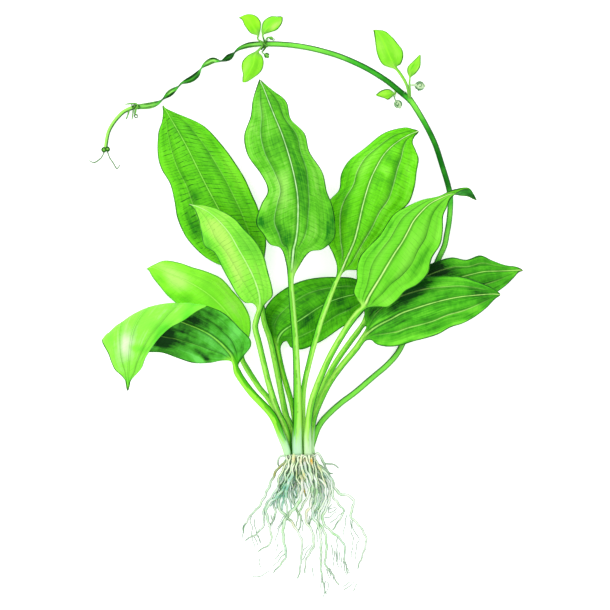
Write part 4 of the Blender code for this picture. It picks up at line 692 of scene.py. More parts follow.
LEAF_COLOURS = ("Body", "Light", "Deep", "Below", "Below Light", "Below Deep", "Vein", "Line", "Stalk",
                "Stalk Shade", "Stalk Edge", "Foot")
LEAF_VALUES = ("Cross Veins", "Mottle", "Crosswise", "Shaded Side")
CLOUD_SCALE, PATCH_SCALE, BLOT_SCALE, FLECK_SCALE = 42.0, 95.0, 120.0, 260.0    # cells to a metre
UNEVEN_MIDDLE = 3.1           # what the noises of the wash add up to on average
WASH_STRENGTH = 0.85

paint = Paint("leaf_paint", LEAF_COLOURS, LEAF_VALUES)
given = paint.given
here = paint.here()
across = paint.mark("across")
tipward = paint.mark("tipward")
under = paint.mark("under")
blade = paint.mark("blade")
foot = paint.mark("foot")
reach = paint.size(across)
# Noises: along the blade, across it with the cross veins, in the round, and in long streaks.
fibres = paint.vector(paint.times(across, 17.0), paint.times(tipward, 3.5))
fibres = paint.noise(fibres, 1.6)
strokes = paint.vector(paint.times(across, 2.2), paint.times(paint.mark("crossing"), 2.6))
strokes = paint.noise(strokes, 1.3, 2.0)
clouds = paint.noise(here, CLOUD_SCALE)
blots = paint.noise(here, BLOT_SCALE)
flecks = paint.noise(here, FLECK_SCALE)
streaks = paint.vector(paint.times(across, 5.0), paint.times(tipward, 5.0))
streaks = paint.noise(streaks, 1.0)
# Painted highlight and painted shade with uneven tone: body, light and deep colour, by the look's patches
# and the noises together.
uneven = paint.times(clouds, 0.8, paint.times(blots, 0.9))
uneven = paint.times(streaks, 1.4, uneven)
uneven = paint.times(flecks, 0.7, uneven)
grain = paint.over(fibres, strokes, given["Crosswise"])
grain = paint.over(grain, blots, paint.times(under, 0.4))
uneven = paint.times(grain, 2.4, uneven)
uneven = paint.less(uneven, UNEVEN_MIDDLE)
rough = paint.plus(given["Mottle"], under)
tone_light_and_shade = paint.times(uneven, rough, paint.mark("tone_light_and_shade"))
lighter = paint.times(tone_light_and_shade, WASH_STRENGTH, clamp=True)
darker = paint.times(tone_light_and_shade, -WASH_STRENGTH, clamp=True)
# The under face takes its own colours, darker as painted shade.
colour = paint.over(given["Body"], given["Below"], under)
colour = paint.over(colour, paint.over(given["Light"], given["Below Light"], under), lighter)
colour = paint.over(colour, paint.over(given["Deep"], given["Below Deep"], under), darker)
# Cross veins, joined here and there, with shorter ones between them.
patches = paint.noise(here, PATCH_SCALE, 2.0)
wobble = paint.times(clouds, 1.1, paint.mark("crossing"))
joins = paint.step(paint.to_and_fro(wobble, 0.5), 0.02, 0.1, 1.0, 0.0)
joins = paint.times(joins, paint.step(patches, 0.42, 0.56))
between = paint.times(wobble, 1.63, 0.35)
between = paint.step(paint.to_and_fro(between, 0.5), 0.02, 0.12, 1.0, 0.0)
between = paint.times(between, paint.step(patches, 0.53, 0.4))
cross_vein = paint.greater(joins, paint.times(between, 0.7))
cross_vein = paint.times(cross_vein, paint.step(flecks, 0.3, 0.5))
cross_vein = paint.times(cross_vein, paint.step(reach, 0.93, 0.8))
cross_vein = paint.times(cross_vein, given["Cross Veins"])
colour = paint.over(colour, given["Line"], cross_vein)
# The dark lines of painted shade beside the veins, the darker rim, and the pale veins.
beside = paint.step(fibres, 0.3, 0.6, 0.6, 1.0)
beside = paint.times(paint.mark("line"), beside)
colour = paint.over(colour, given["Line"], beside)
rim = paint.step(paint.mark("rim"), 0.7, 1.6, 1.0, 0.0)
rim = paint.times(rim, paint.step(patches, 0.3, 0.6, 0.6, 1.0))
colour = paint.over(colour, given["Line"], rim)
pale = paint.mark("pale")
pale = paint.times(pale, paint.step(blots, 0.35, 0.6, 0.55, 1.0))
colour = paint.over(colour, given["Vein"], pale)
# The stalk: strands along it, one side in painted shade with a dark line where that shade begins, a
# painted highlight line on the lit side, dark edges that are stronger on the shaded side, a white foot.
strands = paint.vector(paint.times(across, 6.0), paint.times(foot, 0.025), paint.times(clouds, 3.0))
strands = paint.noise(strands, 1.0)
drift = paint.less(clouds, 0.5)
side = paint.times(drift, 1.0, paint.times(across, given["Shaded Side"]))
side = paint.times(paint.less(strands, 0.5), 1.0, side)
stalk = paint.over(given["Stalk"], given["Stalk Shade"], paint.step(side, 0.0, 0.3))
groove = paint.size(paint.less(side, 0.05))
groove = paint.times(paint.step(groove, 0.03, 0.16, 0.6, 0.0), paint.step(blots, 0.45, 0.6))
stalk = paint.over(stalk, given["Stalk Edge"], groove)
# A painted highlight along the lit side, in the vein colour.
shine = paint.size(paint.plus(side, 0.35))
stalk = paint.over(stalk, given["Vein"], paint.step(shine, 0.05, 0.3, 0.3, 0.0))
edge = paint.times(paint.less(strands, 0.5), 0.3, reach)
edge = paint.step(edge, 0.68, 0.82)
edge = paint.times(edge, paint.step(side, -0.5, 0.5, 0.35, 1.0))
edge = paint.times(edge, paint.step(foot, 4.0, 40.0, 0.3, 1.0))
stalk = paint.over(stalk, given["Stalk Edge"], edge)
white = paint.times(strands, -54.0, foot)
white = paint.times(paint.step(white, -20.0, 2.0, 0.85, 0.0), paint.step(reach, 0.6, 0.9, 1.0, 0.6))
stalk = paint.over(stalk, given["Foot"], white)
# The stalk runs into the blade. Fibres and cross veins give the relief.
colour = paint.over(stalk, colour, paint.step(blade, 0.1, 0.8))
height = paint.plus(paint.times(flecks, 0.5), fibres)
height = paint.times(cross_vein, -0.7, height)
leaf_paint = paint.done(colour, paint.step(flecks, 0.2, 0.8, 0.36, 0.5), height)


def two_veins(paleness, darkness, outer_darkness):
    """The usual two curved veins of a half blade."""
    return ((paleness, darkness, (0.3, 0.5, 0.54, 0.52, 0.45)),
            (0.0, outer_darkness, (0.6, 0.77, 0.8, 0.78, 0.72)))


# A vein is how pale it is, how dark the painted shade beside it is, and where it runs: shares of the half
# width, base to tip. A wave is the margin's height, length and start. A patch is where a leaf is lighter
# (above 0) or darker: x, y, its spread across the leaf and along it, and its strength. The patches are
# mostly painted highlights and painted shade, where light falls on the leaf or other leaves shade it, and
# otherwise its own uneven green. lit is how much light falls on it, and cross_veins, mottle and crosswise
# are how strongly it has cross veins, blots and strokes.
USUAL_VEINS = two_veins(0.5, 0.6, 0.25)
DARK_VEINS = two_veins(0.0, 0.4, 0.2)
FAINT_VEINS = two_veins(0.0, 0.25, 0.1)
USUAL_LOOK = dict(
    # The under face's colours are darker than the upper face's, as painted shade.
    below=(96, 190, 60), below_light=(120, 210, 84), below_deep=(40, 120, 30), line=(20, 84, 12),
    # The stalk's side colour is painted shade on one side of the stalk.
    stalk=(172, 250, 92), stalk_shade=(112, 216, 58), stalk_edge=(24, 100, 16), foot=(48, 140, 34),
    shaded_side=1.0, lit=1.0, veins_left=USUAL_VEINS, veins_right=USUAL_VEINS, rib_side_shade=1.0,
    pale_above=1.0, veins_above=1.0)
LEAF_LOOKS = {
    "leaf_centre": dict(
        body=(108, 214, 48), light=(160, 242, 98), deep=(40, 132, 34), vein=(212, 252, 190),
        cross_veins=0.45, mottle=1.15, crosswise=0.35, wave=(1.2, 40, 0.6), foot=(206, 246, 214),
        shaded_side=-1.0,
        veins_left=((0.3, 0.8, (0.45, 0.55, 0.55, 0.54, 0.5)), (0.0, 0.2, (0.7, 0.8, 0.8, 0.8, 0.75))),
        veins_right=((0.15, 0.8, (0.3, 0.2, 0.27, 0.42, 0.62, 0.55, 0.4)),
                     (0.0, 0.35, (0.65, 0.6, 0.7, 0.8, 0.84, 0.8, 0.75))),
        patches=(
            (-46, 326, 6, 12, 0.4), (-23, 258, 5, 6, 0.7), (-20, 305, 5, 8, -0.1), (-42, 347, 5, 10, 0.5),
            (-26, 353, 5, 10, -0.43), (-12, 321, 6, 16, -0.56), (-3, 295, 6, 16, -0.68),
            (2, 275, 6, 14, -0.74), (3, 253, 6, 14, -0.62), (-28, 315, 6, 9, -0.31),
            (-23, 299, 5, 9, -0.37), (-18, 271, 6, 9, 1.9), (-16, 264, 4, 7, 0.6), (-14, 255, 5, 12, 0.8),
            (-33, 279, 6, 7, 0.6), (-35, 247, 5, 8, 0.6), (-41, 234, 7, 9, -0.99), (-28, 231, 7, 9, -0.5),
            (-19, 226, 6, 8, -0.68), (-12, 215, 5, 8, -1.18), (14, 279, 6, 14, 0.6),
            (19, 297, 5, 8, -0.12), (11, 255, 7, 10, -0.19), (16, 228, 9, 10, 0.2), (6, 217, 8, 6, 0.4),
            (-11.5, 193, 1.8, 9, 1.6), (-8.2, 193, 1, 9, -1.6), (30, 229, 5, 19, -1.18))),
    "leaf_back_left": dict(
        body=(108, 222, 36), light=(132, 238, 50), deep=(52, 146, 20), vein=(160, 242, 96),
        cross_veins=1.0, mottle=1.0, crosswise=0.45, wave=(1.0, 52, 1.0), rib_side_shade=0.6,
        patches=(
            (-72, 295, 7, 16, 0.9), (-60, 277, 7, 16, 1.35), (-41, 238, 6, 16, 0.6),
            (-104, 259, 10, 9, -0.77), (-116, 281, 7, 12, -0.35), (-93, 287, 8, 16, -0.56),
            (-87, 311, 7, 10, -0.35), (-135, 315, 6, 10, -0.35), (-123, 329, 6, 10, -0.49),
            (-110, 327, 6, 10, -0.42), (-110, 237, 8, 12, -0.7), (-103, 227, 8, 10, -0.84),
            (-87, 199, 8, 6, 0.5), (-139, 295, 5, 14, 0.4), (-107, 338, 8, 4, 0.3),
            (-56, 255, 6, 10, -0.21), (-68, 260, 6, 14, -0.21))),
    "leaf_upper_right": dict(
        body=(110, 222, 32), light=(142, 241, 68), deep=(62, 158, 24), vein=(216, 255, 170),
        cross_veins=0.4, mottle=1.15, crosswise=0.5, lit=0.86, wave=(1.2, 44, 2.2), shaded_side=-1.0,
        veins_left=two_veins(0.5, 0.9, 0.4), veins_right=two_veins(0.4, 1.0, 0.25),
        patches=(
            (45, 260, 4, 10, -0.7), (40, 233, 5, 14, -0.4), (62, 287, 8, 10, 1.1), (86, 284, 8, 5, 0.9),
            (92, 294, 9, 6, -0.66), (98, 281, 7, 5, -0.6), (85, 275, 10, 7, -0.5), (87, 253, 8, 6, 0.4),
            (44, 281, 3.5, 16, -0.84), (52, 300, 4, 9, -0.48), (47, 241, 7, 14, -0.48),
            (40, 255, 4, 10, -0.18), (52, 223, 5, 10, -0.3), (112, 295, 4, 14, 0.5),
            (109, 263, 4, 12, 0.6), (111, 265, 2, 8, -0.36), (74, 303, 6, 12, 0.5), (64, 202, 10, 6, 0.9),
            (69, 223, 7, 12, -0.12), (60, 250, 6, 20, 0.1), (95, 315, 12, 4, -0.24), (40, 203, 5, 6, -0.42))),
    "leaf_right": dict(
        body=(122, 234, 54), light=(144, 246, 74), deep=(70, 176, 34), vein=(222, 255, 160),
        cross_veins=0.22, mottle=0.85, crosswise=0.3, wave=(1.0, 50, 0.0), foot=(220, 248, 208),
        below=(50, 150, 44), below_light=(84, 190, 74), below_deep=(6, 62, 22),
        veins_left=two_veins(0.1, 0.75, 0.4), veins_right=two_veins(0.0, 0.9, 0.25),
        patches=(
            (100, 205, 6, 14, -0.5), (76, 187, 5, 12, 0.5), (90, 159, 6, 8, 0.4), (112, 211, 9, 24, 1),
            (105, 191, 8, 14, 0.7), (83, 209, 6, 20, 0.4), (77, 208, 3, 14, -0.63),
            (88, 225, 3, 14, -0.84), (63, 193, 6, 12, -0.21), (126, 205, 5, 14, -0.56),
            (119, 194, 4, 12, -0.56), (114, 186, 3, 12, -0.56), (138, 223, 5, 16, 0.9),
            (86, 154, 12, 5, 0.8), (105, 169, 8, 6, 0.2), (72, 165, 8, 7, -0.28), (88, 173, 8, 8, -0.28),
            (62, 172, 4, 10, -0.07), (144, 258, 8, 8, 0.5))),
    "leaf_low_left": dict(
        body=(150, 254, 58), light=(200, 254, 122), deep=(92, 202, 36), vein=(178, 252, 96),
        cross_veins=0.14, mottle=0.35, crosswise=0.2, wave=(0.8, 48, 0.5), line=(84, 172, 52),
        rib_side_shade=0.4, veins_left=FAINT_VEINS, veins_right=FAINT_VEINS,
        patches=(
            (-122, 174, 8, 11, 1.45), (-130, 181, 6, 8, 0.7), (-140, 175, 5, 8, -0.56),
            (-130, 159, 4, 14, -0.72), (-114, 156, 5, 8, -0.88), (-139, 189, 4, 10, 0.6),
            (-107, 184, 8, 6, -0.24), (-93, 170, 8, 8, -0.4), (-76, 171, 8, 10, 0.3),
            (-69, 149, 6, 10, 0.5), (-86, 155, 8, 8, -0.32))),
    "leaf_front_left": dict(
        body=(146, 248, 72), light=(194, 253, 110), deep=(82, 190, 50), vein=(208, 252, 164),
        cross_veins=0.4, mottle=0.6, crosswise=0.3, wave=(1.0, 40, 1.4), line=(44, 124, 36),
        rib_side_shade=0.3, veins_left=DARK_VEINS, veins_right=DARK_VEINS,
        patches=(
            (-55, 191, 5, 10, 0.5), (-86, 229, 7, 10, 1.2), (-77, 219, 7, 12, 1.2), (-71, 205, 6, 14, 1),
            (-64, 188, 6, 12, 1), (-60, 174, 6, 10, 0.6), (-96, 219, 3, 12, -0.96),
            (-90, 205, 3, 12, -0.8), (-78, 189, 3.5, 12, -1.04), (-70, 172, 4, 8, -0.48),
            (-53, 221, 6, 12, -0.48), (-45, 204, 6, 12, -0.4), (-72, 241, 8, 5, 0.5),
            (-97, 246, 5, 5, 0.6), (-38, 177, 6, 12, 0.2), (-60, 212, 3, 16, -0.56))),
    "leaf_folded_left": dict(
        body=(146, 247, 76), light=(230, 255, 204), deep=(104, 230, 54), vein=(150, 226, 84),
        cross_veins=0.15, mottle=0.35, crosswise=0.1, lit=0.9, wave=(0.6, 60, 0.0), foot=(200, 246, 196),
        shaded_side=-1.0, veins_above=0.6, pale_above=0.15, stalk=(156, 246, 66), stalk_shade=(78, 190, 30),
        below=(80, 186, 50), below_light=(112, 220, 92), below_deep=(8, 68, 24),
        veins_left=two_veins(0.1, 1.0, 0.3), veins_right=two_veins(0.5, 0.9, 0.3),
        patches=(
            (-173, 110, 7, 11, 1.3), (-100, 94, 3, 18, 1.1), (-78, 103, 5, 8, 0.4),
            (-144, 129, 10, 5, -0.4), (-159, 107, 14, 3, -0.7), (-172, 74, 8, 5, -0.9),
            (-188, 115, 6, 8, -0.4), (-134, 121, 7, 10, -1.8), (-140, 112, 6, 9, -1.8),
            (-113, 137, 5, 14, -1.4), (-98, 135, 6, 9, -0.4), (-89, 118, 6, 12, 1), (-101, 121, 6, 8, 0.3),
            (-66, 121, 16, 7, 1.2), (-113, 122, 7, 9, -0.7), (-98, 100, 3, 12, -1.2),
            (-98, 93, 3, 14, 0.7), (-125, 115, 6, 8, -0.6), (-72, 113, 10, 6, -0.4))),
    "leaf_behind_centre": dict(
        body=(84, 192, 32), light=(112, 228, 44), deep=(22, 98, 28), vein=(160, 240, 110), cross_veins=0.5,
        mottle=1.5, crosswise=0.35, wave=(1.0, 44, 0.3), line=(16, 92, 20), stalk=(150, 240, 60),
        stalk_shade=(84, 196, 34),
        patches=(
            (-28, 153, 7, 8, 1), (18, 112, 3, 14, 0.8), (-15, 146, 9, 6, 0.6), (-17, 158, 6, 5, 0.9),
            (31, 124, 6, 10, 1.3), (-1, 112, 5, 9, 0.3), (8, 135, 6, 7, -1.2), (42, 154, 9, 8, -1),
            (49, 170, 8, 8, -0.3), (20, 167, 5, 12, -0.38), (9, 174, 4, 10, -0.15),
            (-33, 137, 9, 4, -0.68), (-25, 123, 8, 4, -0.68), (22, 140, 10, 6, 0.5), (2, 147, 6, 6, -0.22))),
    "leaf_back_right": dict(
        body=(78, 188, 38), light=(112, 228, 52), deep=(6, 62, 24), vein=(186, 248, 120), cross_veins=0.12,
        mottle=1.5, crosswise=0.1, wave=(1.2, 46, 1.2), foot=(206, 246, 186),
        patches=(
            (137, 186, 11, 12, -1.7), (128, 179, 10, 12, -1.36), (152, 183, 6, 8, -0.59),
            (159, 193, 4, 10, 0.8), (178, 182, 5, 10, 0.4), (194, 174, 5, 9, -0.26), (215, 184, 5, 6, 1))),
    "leaf_front_right": dict(
        body=(82, 196, 40), light=(128, 240, 62), deep=(10, 76, 28), vein=(196, 254, 128),
        cross_veins=0.12, mottle=1.3, crosswise=0.1, wave=(1.1, 50, 2.0), foot=(206, 246, 190),
        veins_left=two_veins(0.5, 0.7, 0.4), veins_right=two_veins(0.9, 0.7, 0.25),
        patches=(
            (111, 164, 6, 14, -1.6), (104, 157, 6, 12, -1.6), (122, 168, 6, 10, -0.96),
            (127, 176, 5, 12, -0.96), (94, 147, 5, 9, -0.6), (72, 144, 5, 7, -1), (142, 169, 4, 12, 0.9),
            (158, 174, 4, 10, 0.5), (180, 161, 6, 9, -0.9), (187, 162, 4, 7, 0.3), (129, 142, 10, 9, 0.3),
            (126, 118, 3, 18, 1.5), (100, 114, 3, 14, 1.3), (162, 132, 3, 14, 1.4), (83, 114, 3, 9, 0.8),
            (81, 135, 0.9, 12, 1.7), (176, 146, 4, 8, 0.6), (144, 143, 4, 10, 0.1))),
}
LEAF_RELIEF = 0.0003


def leaf_green(name, look, relief):
    """The finish of one leaf, with the colours and values of its look."""
    colours, values = ({socket: look[socket.lower().replace(" ", "_")] for socket in sockets}
                       for sockets in (LEAF_COLOURS, LEAF_VALUES))
    return living(name + "_green", leaf_paint, relief, colours, values, lit=look["lit"])


for name, leaf in LEAVES.items():
    look = USUAL_LOOK | LEAF_LOOKS[name]
    grown(leaf_mesh(name + "_skin", leaf, look), leaf_green(name, look, LEAF_RELIEF),
          name)

# ------------------------------------------------------------------ runner
# The flower stalk that arches over the leaves: a round green stem, with painted shade on its outer
# side, then a flat stretch that twists like a ribbon, then a thin end. It thickens where plantlets grow on
# it.

# Each row is x, y, z. The runner's four lengths meet at its nodes.
RUNNER_LOWER = (
    (10, 0.3, 6.7), (10.3, 4, 6.5), (15, 19, 4.6), (19, 28.6, 3.2), (26, 37.8, 2.9), (40, 50.8, 2.9),
    (55.4, 62.4, 2.9), (72.4, 77, 2.9), (86.3, 88.7, 2.9), (97, 100.5, 2.9), (104, 113.5, 2.9),
    (112, 133, 2.9), (122, 155, 2.9), (131, 177, 2.9), (138, 194, 2.9), (144.8, 209, 2.9),
    (147.2, 220, 2.9), (150, 237, 2.9), (151, 257, 2.9), (148.7, 270, 2.9), (143.3, 288, 2.9),
    (135.4, 312, 2.9), (125, 333, 2.9), (112.8, 353, 2.9))
RUNNER_MIDDLE = (
    (109.8, 356.6, 2.9), (101, 363.8, 2.9), (90, 373, 2.9), (79, 380.5, 2.9), (67, 387.6, 2.9),
    (52, 394.8, 2.9), (38, 400.4, 2.9), (24, 404.6, 2.9), (10, 408, 2.9), (-5, 410.5, 2.9),
    (-19, 411.8, 2.9), (-33.8, 412.2, 2.9))
# Each row is x, y, the turn in degrees of the ribbon's flat side about its own length, how light (1) or
# dark (-1) it is there, and which edge is in painted shade: its upper (1) or lower (-1) one.
RUNNER_RIBBON = (
    (-44, 411.9, 10, 0.8, 0.5), (-52.4, 410.7, 30, 0.7, 0.6), (-61, 407.4, 60, 0.3, 0.8),
    (-65.3, 404, 90, -1, 0.8), (-71.3, 398.8, 180, -0.75, 0.7), (-79.1, 395, 270, -0.9, 0.5),
    (-86.8, 395.7, 340, 1, 0.3), (-93, 392.9, 385, 0.8, 0.3), (-98.5, 388.4, 440, -0.3, 0.4),
    (-104, 380.8, 520, -0.8, 0.6), (-110, 376.4, 555, -0.1, 0.8), (-118.7, 372.7, 615, -0.2, 0.9),
    (-121.7, 369.8, 635, -0.9, 0.2), (-130, 363.2, 720, 0.9, -0.7), (-137.6, 356.8, 805, -0.7, -0.4),
    (-142.8, 353, 850, 0.4, 0.2), (-151.4, 350.2, 900, 0.7, -0.1), (-164, 349, 900, 0.7, 0.1))
RUNNER_RIBBON_Z = 3.2
RUNNER_END = (
    (-167.5, 348.2, 2.2), (-172.5, 346.4, 2), (-178.2, 343.2, 1.9), (-184.2, 337, 1.8), (-188.6, 331, 1.8),
    (-191.8, 325, 1.7), (-193.5, 319, 1.6), (-194.8, 311, 1.5))
LOWER_NODE = (110.6, 355.4, 2.9)
UPPER_NODE = (-35.8, 412.2, 3.1)
RIBBON_START = (-35.2, 412.2, 0, 0.8, 0.5)
END_START = (-164, 349, 2.6)
RUNNER_TIP = (-195, 308.4, 2.1)
# Along the lower and middle lengths: how light (1) or dark (-1) they are at the given spots, and how
# strongly the left (-1) or right (1) side is in shade there.
LOWER_SPOTS = (0, 60, 200, 240, 257, 270, 300, 325, 340, 355)     # heights above the crown
LOWER_TONES = (1, 1, 0.6, 0.7, 0.2, -0.8, -0.9, -0.7, 0.5, 1)
LOWER_SHADES = (-0.3, -0.35, -0.4, -0.4, 0, 0.7, 0.6, 0.5, 0.3, 0.2)
MIDDLE_SPOTS = (-34, 0, 35, 60, 103, 110)                         # how far right of the crown
MIDDLE_TONES = (0.7, 1, 0.6, -0.2, -0.9, 0.5)
MIDDLE_SHADES = (0.5, 0.4, 0.5, 0.8, 0.9, 0.3)
# How thick each length is, at the given distances along it.
LOWER_WAY, LOWER_RADII = (0, 12, 60, 380, 414, 424), (3.4, 3.2, 3.0, 2.8, 3.0, 3.3)
MIDDLE_WAY, MIDDLE_RADII = (0, 6, 20, 140, 158, 166), (3.3, 3.0, 2.9, 2.8, 2.7, 3.1)
END_WAY, END_RADII = (0, 5, 30, 54), (2.3, 2.0, 1.9, 1.8)
RUNNER_STEP, RIBBON_STEP, END_STEP = 1.5, 0.8, 1.0                # spacing of the points
RIBBON_SIDES = 20
RIBBON_WIDENS, RIBBON_NARROWS = 22, 12                            # lengths over which it gets flat
RIBBON_HALF_WIDTH, RIBBON_HALF_DEPTH = (2.5, 0.7), (2.3, -1.45)   # where it is round, and how they change
END_TURNS = np.radians((28, 55, 80))  # where the rings of a rounded end lie


def traced(rows, step):
    """Rows on a smooth curve through the given ones, about step apart along their first three values."""
    spans = [math.dist(a[:3], b[:3]) for a, b in zip(rows, rows[1:])]
    return flow(rows, [max(1, round(span / step)) for span in spans])


def sleeve(name, route, wide, deep=None, turns=0.0, sides=14, **more):
    """A closed skin with round ends along a route.

    wide and deep are its half width and half depth along the way, turns turn a flat one about its
    length, in degrees, and more holds further marks.
    """
    deep = wide if deep is None else deep
    along = unit(np.gradient(route, axis=0))
    rows = np.column_stack([route, wide, deep, np.broadcast_to(turns, len(route)), travelled(route)])
    start = [[*(route[0] - along[0] * wide[0] * math.sin(turn)), wide[0] * math.cos(turn),
              deep[0] * math.cos(turn), rows[0, 5], 0.0] for turn in END_TURNS[::-1]]
    finish = [[*(route[-1] + along[-1] * wide[-1] * math.sin(turn)), wide[-1] * math.cos(turn),
               deep[-1] * math.cos(turn), rows[-1, 5], rows[-1, 6]] for turn in END_TURNS]
    ends = len(END_TURNS)
    more = {mark: np.concatenate([[values[0]] * ends, values, [values[-1]] * ends])[:, None]
            for mark, values in more.items()}
    rows = np.vstack([start, rows, finish])
    along = np.vstack([[along[0]] * ends, along, [along[-1]] * ends])
    level = unit(np.cross(along, (0, 0, 1)))
    steep = np.cross(level, along)
    turn = np.radians(rows[:, 5:6])
    side = level * np.cos(turn) + steep * np.sin(turn)
    up = np.cross(side, along)
    angle = np.linspace(0, 2 * math.pi, sides, endpoint=False)[None, :]
    outward = (side[:, None] * (rows[:, 3:4] * np.cos(angle))[..., None]
               + up[:, None] * (rows[:, 4:5] * np.sin(angle))[..., None])
    facing = unit(outward)
    marks = dict(flank=np.sum(facing * level[:, None], axis=2), crest=np.sum(facing * steep[:, None], axis=2),
                 face=np.sin(angle), length=rows[:, 6:7], **more)
    return rolled(name, rows[:, None, :3] + outward, marks)


def gathered(name, skins):
    """One mesh of several skins that carry the same marks."""
    shape = bmesh.new()
    for skin in skins:
        shape.from_mesh(skin)
        bpy.data.meshes.remove(skin)
    mesh = bpy.data.meshes.new(name)
    shape.to_mesh(mesh)
    shape.free()
    mesh.shade_smooth()
    return mesh


# A stem's marks: which flank and crest a point is on, how light (1) or dark (-1) the stem is there, how
# strongly the left (-1) or right (1) side is in shade, and how far it takes the colour of its lines.
paint = Paint("stem_paint", ("Body", "Light", "Deep", "Line"), ("Shaded Side", "Under Face Shade", "Far Line"))
given = paint.given
flank = paint.mark("flank")
fibres = paint.vector(paint.times(flank, 3.0), paint.times(paint.mark("crest"), 3.0),
                      paint.times(paint.mark("length"), 0.06))
fibres = paint.noise(fibres, 1.4)
uneven = paint.times(paint.less(fibres, 0.5), 0.8)
clouds = paint.noise(paint.here(), 60.0)
# The stem's tone, and its under face, darker as painted shade.
tone = paint.plus(paint.mark("tone"), paint.times(clouds, 1.6, -0.8))
colour = paint.over(given["Body"], given["Light"], paint.step(tone, 0.0, 1.0))
colour = paint.over(colour, given["Deep"], paint.step(tone, -0.1, -1.1))
under = paint.step(paint.mark("face"), 0.35, -0.35)
colour = paint.over(colour, given["Deep"], paint.times(under, given["Under Face Shade"]))
# The side in shade, and the outline, which is fainter on the far side.
side = paint.plus(given["Shaded Side"], paint.mark("dark"))
side = paint.times(flank, side, uneven)
colour = paint.over(colour, given["Deep"], paint.step(side, 0.1, 0.6))
outline = paint.times(uneven, 0.25, paint.size(flank))
outline = paint.step(outline, 0.5, 0.78)
far = paint.times(paint.step(side, 0.3, -0.2), given["Far Line"])
near = paint.greater(far, paint.step(side, -0.1, 0.3))
colour = paint.over(colour, given["Line"], paint.times(outline, near))
colour = paint.over(colour, given["Line"], paint.mark("shade"))
stem_paint = paint.done(colour, paint.step(fibres, 0.2, 0.8, 0.35, 0.5), fibres)
STEM_RELIEF = 0.0002
STEM_THROUGH = 0.08


def stem_green(name, body, light, deep, line, shaded_side=1.0, under_face_shade=0.0, far_line=0.75):
    """The finish of a stem: which side is in painted shade, how dark the painted shade of its under face is,
    and its far outline.
    """
    colours = {"Body": body, "Light": light, "Deep": deep, "Line": line}
    values = {"Shaded Side": shaded_side, "Under Face Shade": under_face_shade, "Far Line": far_line}
    return living(name, stem_paint, STEM_RELIEF, colours, values, STEM_THROUGH)


runner_green = stem_green("runner_green", (74, 194, 54), (136, 240, 84), (26, 118, 24), (12, 84, 16), 0.0)
lower = traced(RUNNER_LOWER + (LOWER_NODE,), RUNNER_STEP)
grown(sleeve("runner_lower_skin", lower, np.interp(travelled(lower), LOWER_WAY, LOWER_RADII),
             tone=np.interp(lower[:, 1], LOWER_SPOTS, LOWER_TONES),
             dark=np.interp(lower[:, 1], LOWER_SPOTS, LOWER_SHADES)),
      runner_green, "runner_lower")
middle = traced((LOWER_NODE,) + RUNNER_MIDDLE + (UPPER_NODE,), RUNNER_STEP)
grown(sleeve("runner_middle_skin", middle, np.interp(travelled(middle), MIDDLE_WAY, MIDDLE_RADII),
             tone=np.interp(middle[:, 0], MIDDLE_SPOTS, MIDDLE_TONES),
             dark=np.interp(middle[:, 0], MIDDLE_SPOTS, MIDDLE_SHADES)),
      runner_green, "runner_middle")
ribbon = traced([(x, y, RUNNER_RIBBON_Z, *rest) for x, y, *rest in (RIBBON_START, *RUNNER_RIBBON)],
                RIBBON_STEP)
reach = travelled(ribbon[:, :3])
flat = ease(0, RIBBON_WIDENS, reach) * ease(reach[-1], reach[-1] - RIBBON_NARROWS, reach)
wide, deep = (round_half + change * flat for round_half, change in (RIBBON_HALF_WIDTH, RIBBON_HALF_DEPTH))
grown(sleeve("runner_twisted_skin", ribbon[:, :3], wide, deep, ribbon[:, 3], RIBBON_SIDES,
             tone=ribbon[:, 4], dark=ribbon[:, 5]),
      stem_green("runner_twisted_green", (80, 192, 54), (156, 246, 108), (16, 96, 26), (10, 74, 16),
                 shaded_side=0.0, under_face_shade=0.15),
      "runner_twisted")
end = traced((END_START,) + RUNNER_END + (RUNNER_TIP,), END_STEP)
grown(sleeve("runner_end_skin", end, np.interp(travelled(end), END_WAY, END_RADII)),
      stem_green("runner_end_green", (166, 240, 106), (186, 250, 128), (52, 140, 30), (26, 96, 16),
                 shaded_side=-1.0, far_line=0.1),
      "runner_end")

# ------------------------------------------------------------------ small leaves of the plantlets
# Young, thin, yellow-green leaves on short stalks at two of the runner's nodes. They are made like
# the large ones, with fainter veins and a thin grey-green margin.

